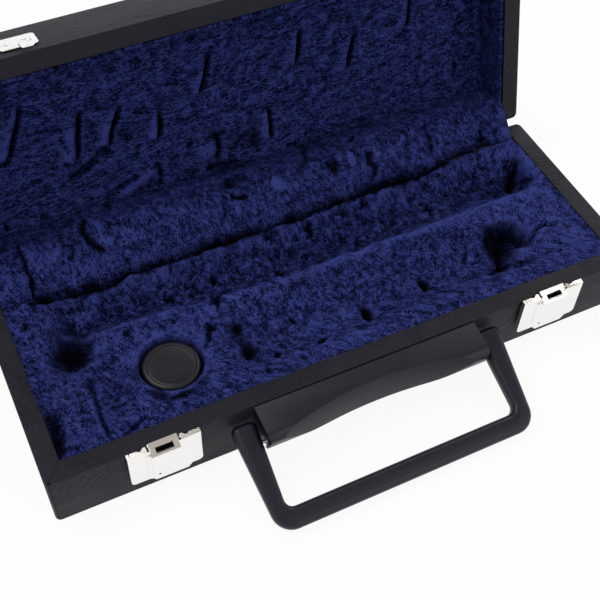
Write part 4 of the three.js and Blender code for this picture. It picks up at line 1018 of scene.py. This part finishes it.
def easedCopy(name, node, width, segments=2, angle=30):
    source = nodes[node]
    piece = bpy.data.objects.new(name, source.data.copy())
    bpy.context.scene.collection.objects.link(piece)
    piece.data.name = name
    only(piece)
    bpy.ops.object.mode_set(mode="EDIT")
    bpy.ops.mesh.select_all(action="SELECT")
    bpy.ops.mesh.remove_doubles(threshold=1e-6)
    bpy.ops.mesh.dissolve_limited(angle_limit=math.radians(1.0))
    bpy.ops.object.mode_set(mode="OBJECT")
    if not width:
        return crisp(piece)
    applied(piece, "BEVEL", width=width * mm, segments=segments, limit_method="ANGLE",
            angle_limit=math.radians(angle), use_clamp_overlap=True)
    return smooth(piece, 40)


def fitting(name, node, body, finish, width, segments=2, angle=30):
    piece = finish.on(easedCopy(name, node, width, segments, angle))
    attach(piece, body)
    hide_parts(node)
    return piece


latchTrim = {  # what the picture shows finer than the solid, from the cover's middle and the front face
    "middleX": 98.9, "half": 6.66, "frameLow": 30.2, "frameBack": 0.5, "frameLip": 5.0,
    "newBack": 0.15, "newLip": 5.7, "rise": 0.4, "drop": 0.75, "flangeLow": 32.6,
    "slitX": 7.2, "slitWide": 0.85, "slitLong": 3.0, "endX": 15.2, "endWide": 0.45, "endLong": 2.3,
    "notchX": 10.6, "notch": 1.75,
}


def trimCover(piece, side):  # deeper window frame, open slits and notches
    size = latchTrim
    centre = -size["middleX"] if side == "left" else size["middleX"]
    points = readPoints(piece.data)
    x, y, z = points[:, 0] / mm - centre, (points[:, 1] - frontFace) / mm, points[:, 2] / mm
    along = (-size["frameBack"] - y) / (size["frameLip"] - size["frameBack"])
    inFrame = (np.abs(x) < size["half"]) & (z > size["frameLow"]) & (y < -0.4)
    out = size["newBack"] + along * (size["newLip"] - size["newBack"])
    up = z + size["rise"] - (size["rise"] + size["drop"]) * along
    points[:, 1] = np.where(inFrame, frontFace - out * mm, points[:, 1])
    points[:, 2] = np.where(inFrame, up * mm, points[:, 2])
    writePoints(piece.data, points)
    level, tall = size["flangeLow"] + 1, 2.4
    for sign in (-1, 1):
        for kind in ("slit", "end"):
            far, wide, long = size[kind + "X"], size[kind + "Wide"], size[kind + "Long"]
            carve(piece, block("slitCutter", (centre + sign * far, -long / 2, level), (wide, long + 0.8, tall)))
        bpy.ops.mesh.primitive_cylinder_add(vertices=4, radius=size["notch"] * mm, depth=tall * mm,
                                            location=at(centre + sign * size["notchX"], -0.5, level))
        carve(piece, settle(named("notchCutter")))
    return crisp(piece)


for side in ("left", "right"):
    trimCover(fitting(side + "LatchCover", side + "_latch_cover", side + "_latch", nickel, 0), side)
    fitting(side + "LatchBase", side + "_latch_base_plate", "base", blackSteel, 0.1)
    fitting(side + "Striker", side + "_striker", "lid", nickel, 0.18)
    fitting(side + "HingeBaseLeaf", side + "_hinge_base_leaf", "base", nickel, 0.16, angle=40)
    fitting(side + "HingeLidLeaf", side + "_hinge_lid_leaf", "lid", nickel, 0.16, angle=40)
fitting("handleBracket", "handle_bracket", "base", satinPlastic, 0.5, 4, 24)


def turned(name, rings, sides=40):  # a circle extruded ring by ring about Z, both ends closed to a point
    (r0, z0), rest = rings[0], rings[1:]
    bpy.ops.mesh.primitive_circle_add(vertices=sides, radius=r0 * mm, location=(0, 0, z0 * mm))
    piece = settle(named(name))
    bpy.ops.object.mode_set(mode="EDIT")
    bpy.ops.mesh.select_mode(type="VERT")
    bpy.ops.mesh.select_all(action="SELECT")
    radius, level = r0, z0
    for r, z in rest:
        bpy.ops.mesh.extrude_edges_move(TRANSFORM_OT_translate={"value": (0, 0, (z - level) * mm)})
        if r != radius:
            bpy.ops.transform.resize(value=(r / radius, r / radius, 1), center_override=(0, 0, z * mm))
        radius, level = r, z
    bpy.ops.mesh.select_all(action="DESELECT")
    bpy.ops.object.mode_set(mode="OBJECT")
    for z in (z0, level):  # poles
        pick(piece, points=lambda v: abs(v.co.z - z * mm) < 1e-7 and v.co.xy.length < 0.02 * mm + 1e-7)
        bpy.ops.mesh.merge(type="CENTER")
        done()
    only(piece)
    bpy.ops.object.mode_set(mode="EDIT")
    bpy.ops.mesh.select_all(action="SELECT")
    bpy.ops.mesh.normals_make_consistent(inside=False)
    bpy.ops.object.mode_set(mode="OBJECT")
    return piece


def placed(piece, name, matrix):  # a copy with its own mesh, moved by its points
    copy = bpy.data.objects.new(name, piece.data.copy())
    bpy.context.scene.collection.objects.link(copy)
    copy.data.name = name
    copy.data.transform(matrix)
    return copy


def middle(node):
    low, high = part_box(node)
    return (low + high) / 2, low, high


wallDome = {"head": 2.1, "rise": 0.6, "shank": 1.1, "depth": 4.0}
latchDome = {"head": 1.8, "rise": 0.5, "shank": 1.1, "depth": 4.0}


def rivetForm(name, head, rise, shank, depth):
    rings = [(0.02, -depth), (shank, -depth), (shank, -0.02), (head, -0.01), (head, 0.06)]
    rings += [(head * math.cos(a), 0.06 + (rise - 0.06) * math.sin(a)) for a in np.linspace(0.18, 1.45, 7)]
    rings += [(0.02, rise)]
    return smooth(turned(name, rings, 28), 50)


wallRivet = rivetForm("wallRivet", **wallDome)
latchRivet = rivetForm("latchRivet", **latchDome)
faceFront = Matrix.Rotation(math.radians(90), 4, "X")  # +Z turned to -Y
faceBack = Matrix.Rotation(math.radians(-90), 4, "X")  # +Z turned to +Y


def addRivet(node, form, body, finish, slot, turn, level):
    centre, low, high = middle(node)
    if body == "lid":  # the frame shows the lid open
        closed = openLid.inverted() @ centre
        matrix = openLid @ Matrix.Translation((closed.x, level, closed.z)) @ turn
    else:
        matrix = Matrix.Translation((centre.x, level, centre.z)) @ turn
    piece = finish.on(placed(form, node.replace("_", "") + "Head", matrix))
    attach(piece, body)
    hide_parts(node)


rearFace = frontFace + (shellSize["depth"] + 0.3 + 0.9 + 0.05) * mm  # of the hinge leaves on the back wall
rivets = [  # kind, form, body, finish, slot, turn, level of the head's seat
    ("hinge_base", wallRivet, "base", nickel, "nickel", faceBack, rearFace),
    ("hinge_lid", wallRivet, "lid", nickel, "nickel", faceBack, rearFace),
    ("latch", latchRivet, "base", steel, "steel", faceFront, frontFace - 0.85 * mm),
    ("striker", wallRivet, "lid", nickel, "nickel", faceFront, frontFace - 1.15 * mm),
]
for side in ("left", "right"):
    for n in ("1", "2"):
        for kind, *rest in rivets:
            addRivet(f"{side}_{kind}_rivet_{n}", *rest)
for form in (wallRivet, latchRivet):
    bpy.data.objects.remove(form)

for side in ("left", "right"):  # pins of the hinges and of the bail
    for node, finish, slot, radius in ((f"{side}_hinge_pin", steel, "steel", 1.0),
                                       (f"{side}_bail_pin", nickel, "nickel", 1.6)):
        centre, low, high = middle(node)
        half, edge = (high.x - low.x) / 2 / mm, 0.25
        rings = [(0.02, -half), (radius - edge, -half), (radius, -half + edge), (radius, half - edge),
                 (radius - edge, half), (0.02, half)]
        form = smooth(turned("pinForm", rings, 32), 40)
        turn = Matrix.Translation(centre) @ Matrix.Rotation(math.radians(90), 4, "Y")
        piece = finish.on(placed(form, node.replace("_", "") + "Rod", turn))
        bpy.data.objects.remove(form)
        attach(piece, "base")
        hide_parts(node)
print("fittings placed")

# carrying bail, laid flat and then swung to its place

bailSize = {
    "outerTop": 69.0, "innerTop": 56.9, "outerBar": 65.4, "innerBar": 58.5, "tail": 11.4, "inner": 29.9,
    "outer": 39.6, "thick": 7.6, "outerRadius": 9.0, "innerRadius": 4.0, "tailRadius": 3.4, "round": 3.0,
    "pivotOut": 12.0, "pivotUp": 18.2, "degrees": 22.9,
}


def makeBail():
    size = bailSize
    low = -size["thick"] / 2 * mm
    arm = (size["outerTop"] - size["innerTop"]) * mm
    run = (size["inner"] + size["tail"]) * mm
    armAt = -(size["outerTop"] + size["innerTop"]) / 2 * mm
    bpy.ops.mesh.primitive_plane_add(size=1, location=(armAt, (size["inner"] - size["tail"]) / 2 * mm, low))
    bpy.ops.transform.resize(value=(arm, run, 1))
    piece = settle(named("handleBail"))  # one arm, from which the U grows
    y0, y1, y2 = -size["tail"] * mm, size["inner"] * mm, size["outer"] * mm
    x0, x1, near = size["innerTop"] * mm, size["innerBar"] * mm, 1e-6

    def grow(test, *moves):  # extrudes the edges that pass the test
        pick(piece, edges=lambda e: all(test(v.co) for v in e.verts))
        for move in moves:
            bpy.ops.mesh.extrude_edges_move(TRANSFORM_OT_translate={"value": move})
        done()

    grow(lambda c: abs(c.y - y1) < near, (0, y2 - y1, 0))
    grow(lambda c: abs(c.x + x0) < near and c.y > y1 - near, (2 * x0, 0, 0), (arm, 0, 0))
    grow(lambda c: c.x > x0 - near and abs(c.y - y1) < near, (0, y0 - y1, 0))
    drift = (size["outerTop"] - size["outerBar"]) * mm  # the arms' outer sides close towards the bar
    for sign in (-1, 1):
        for level in (y1, y2):
            pick(piece, points=lambda v: v.co.x * sign > x0 + 1e-4 and abs(v.co.y - level) < near)
            share = (level - y0) / (y2 - y0)
            bpy.ops.transform.translate(value=(-sign * drift * share, 0, 0))
            done()
    for sign in (-1, 1):  # and their inner sides open
        pick(piece, points=lambda v: abs(v.co.x * sign - x0) < 1e-5 and v.co.y > y1 - near)
        bpy.ops.transform.translate(value=(sign * (x1 - x0), 0, 0))
        done()
    pick(piece, faces=lambda f: True)
    bpy.ops.mesh.extrude_region_move(TRANSFORM_OT_translate={"value": (0, 0, size["thick"] * mm)})
    bpy.ops.mesh.select_all(action="SELECT")
    bpy.ops.mesh.normals_make_consistent(inside=False)
    bpy.ops.mesh.dissolve_limited(angle_limit=math.radians(1))
    done()

    def upright(test):
        return lambda e: abs(e.verts[0].co.z - e.verts[1].co.z) > 1e-3 and test(e.verts[0].co)

    for test, radius, steps in (
        (lambda c: abs(c.y - y2) < near and abs(c.x) > x1 + 1e-4, size["outerRadius"], 10),
        (lambda c: abs(c.y - y1) < near and abs(abs(c.x) - x1) < 1e-5, size["innerRadius"], 6),
        (lambda c: abs(c.y - y0) < near, size["tailRadius"], 5),
    ):
        pick(piece, edges=upright(test))
        bpy.ops.mesh.bevel(offset=radius * mm, segments=steps, profile=0.5, affect="EDGES")
        done()
    applied(piece, "BEVEL", width=size["round"] * mm, segments=5, limit_method="ANGLE",
            angle_limit=math.radians(60), profile=0.5, use_clamp_overlap=False)
    smooth(piece, 50)
    pivot = at(0, -size["pivotOut"], size["pivotUp"])
    turn = Matrix.Rotation(math.radians(size["degrees"]), 4, "X") @ Matrix.Rotation(math.radians(180), 4, "X")
    piece.data.transform(Matrix.Translation(pivot) @ turn)
    return piece


bail = satinPlastic.on(makeBail())
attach(bail, "bail")
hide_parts("handle_bail")
print("bail bent")

# grease pot

potSize = {
    "radius": 12.9, "jarLow": 12.5, "jarTop": 22.2, "neck": 11.6, "neckTop": 28.0, "jarInner": 10.0,
    "jarFloor": 14.1, "capRadius": 13.8, "capLow": 22.5, "capTop": 30.0, "capInner": 12.1, "capCeiling": 28.3,
    "round": 2.3, "ribs": 72, "ribDepth": 0.985,
    "dish": [(11.5, 0), (11.35, 0.12), (11.2, 0.5), (11.0, 0.6), (10.7, 0.56), (10.45, 0.42), (10.2, 0.4),
             (9.9, 0.52), (9.6, 0.58), (4, 0.585), (0.02, 0.59)],  # radius, and how far below the cap's top
}


def makePot():
    size = potSize
    spot = at(potPlace["x"], potPlace["y"], 0)
    edge, low, top, bend, inner, ceiling = (
        size[key] for key in ("capRadius", "capLow", "capTop", "round", "capInner", "capCeiling"))
    rings = [(0.02, ceiling), (inner, ceiling - 0.01), (inner, low), (edge - 0.4, low), (edge, low + 0.4)]
    for a in np.linspace(0, math.pi / 2, 7):
        rings.append((edge - bend * (1 - math.cos(a)), top - bend * (1 - math.sin(a))))
    rings += [(radius, top - drop) for radius, drop in size["dish"]]
    count = size["ribs"] * 2
    cap = turned("potCap", rings, count)

    def groove(v):  # every other point of the cap's side
        if not (low + 0.1) * mm < v.co.z < (top - bend + 0.3) * mm or v.co.xy.length < (edge - 0.25) * mm:
            return False
        return round(math.atan2(v.co.y, v.co.x) / (2 * math.pi) * count) % 2 == 0

    pick(cap, points=groove)
    bpy.ops.transform.resize(value=(size["ribDepth"], size["ribDepth"], 1), center_override=(0, 0, 0))
    done()
    smooth(cap, 60)
    cap.data.transform(Matrix.Translation(spot))
    wide, foot, shoulder, neck, mouth, inner, deep = (
        size[key] for key in ("radius", "jarLow", "jarTop", "neck", "neckTop", "jarInner", "jarFloor"))
    rings = [(0.02, foot), (wide - 0.6, foot), (wide, foot + 0.6), (wide, shoulder - 0.3),
             (wide - 0.3, shoulder), (neck, shoulder), (neck, mouth - 0.3), (neck - 0.3, mouth),
             (inner + 0.3, mouth), (inner, mouth - 0.3), (inner, deep + 0.8), (inner - 0.8, deep),
             (0.02, deep + 0.01)]
    jar = smooth(turned("potJar", rings, 96), 40)
    jar.data.transform(Matrix.Translation(spot))
    return cap, jar


potCap, potJar = (potPlastic.on(p) for p in makePot())
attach(potCap, "pot_cap")
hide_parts("pot_cap")
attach(potJar, "pot")
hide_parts("pot_jar")

for node, finish in (("pot_grease", greaseLook), ("left_latch_spring", steel), ("right_latch_spring", steel),
                     ("left_bracket_screw", steel), ("right_bracket_screw", steel)):
    finish.on(nodes[node])
    smooth(nodes[node], 40)
print("pot turned")

# floor, light and camera

studio = {
    "floor": (0.92, 0.92, 0.92, 1), "floorGlow": 0.92, "air": 0.42, "walls": (1, 1, 1),
    "ceiling": (0.42, 0.38, 0.34), "ceilingFrom": 0.35, "ceilingFull": 0.95,
}
bpy.ops.mesh.primitive_plane_add(size=6, location=(0, 0, 0))
floor = settle(named("studioFloor"))
f = Finish("paleFloor").set(Base_Color=studio["floor"], Roughness=0.9, Specular_IOR_Level=0.1)
seen, _ = f.rays()
surface = Value(f, f.shader.outputs[0])
glow = f.add("ShaderNodeEmission", {}, {"Strength": 1.0})
both = f.add("ShaderNodeMixShader", {}, {"Fac": seen * studio["floorGlow"], 1: surface, 2: glow})
f.tree.links.new(both.socket, f.tree.nodes["Material Output"].inputs["Surface"])
f.on(floor)

world = bpy.data.worlds.new("studio")
bpy.context.scene.world = world
world.use_nodes = True
air = Nodes(world.node_tree)
seen, glossy = air.rays()
height = air.add("ShaderNodeSeparateXYZ", {}, {"Vector": air.add("ShaderNodeTexCoord")}, out=2)
above = height.between(studio["ceilingFrom"], studio["ceilingFull"])
sky = air.mix(above * glossy, studio["walls"], studio["ceiling"])  # metal mirrors a dimmer, warm ceiling
background = air.tree.nodes["Background"]
air.tree.links.new(sky.socket, background.inputs["Color"])
air.tree.links.new((seen * (1 - studio["air"]) + studio["air"]).socket, background.inputs["Strength"])

lamps = [  # name, place, aim, size, power
    ("keyLamp", (-0.55, 0.25, 1.15), (0, 0.02, 0.02), 0.9, 7.5),
    ("frontLamp", (0.5, -1.0, 0.8), (0, 0, 0.02), 0.9, 3.0),
    ("rearLamp", (0.91, 0.86, 1.03), (0.1, 0.02, 0.02), 0.7, 5.0),
]
for name, place, aim, size, power in lamps:
    data = bpy.data.lights.new(name, "AREA")
    data.shape, data.size, data.energy = "SQUARE", size, power
    lamp = bpy.data.objects.new(name, data)
    bpy.context.scene.collection.objects.link(lamp)
    lamp.location = place
    lamp.rotation_euler = (Vector(aim) - Vector(place)).to_track_quat("-Z", "Y").to_euler()

shot = {"place": (-0.1525, -0.27703, 0.41698), "right": (0.90117, -0.4327, 0.02588),
        "up": (0.32605, 0.71598, 0.6173), "back": (-0.28564, -0.54785, 0.7863), "lens": 62.375}
cameraData = bpy.data.cameras.new("photoCamera")
cameraData.lens, cameraData.sensor_width, cameraData.clip_start = shot["lens"], 36, 0.01
camera = bpy.data.objects.new("photoCamera", cameraData)
bpy.context.scene.collection.objects.link(camera)
turn = Matrix((shot["right"], shot["up"], shot["back"])).transposed().to_4x4()
camera.matrix_world = Matrix.Translation(shot["place"]) @ turn
bpy.context.scene.camera = camera
bpy.context.scene.view_settings.view_transform = "Standard"

print("scene ready")
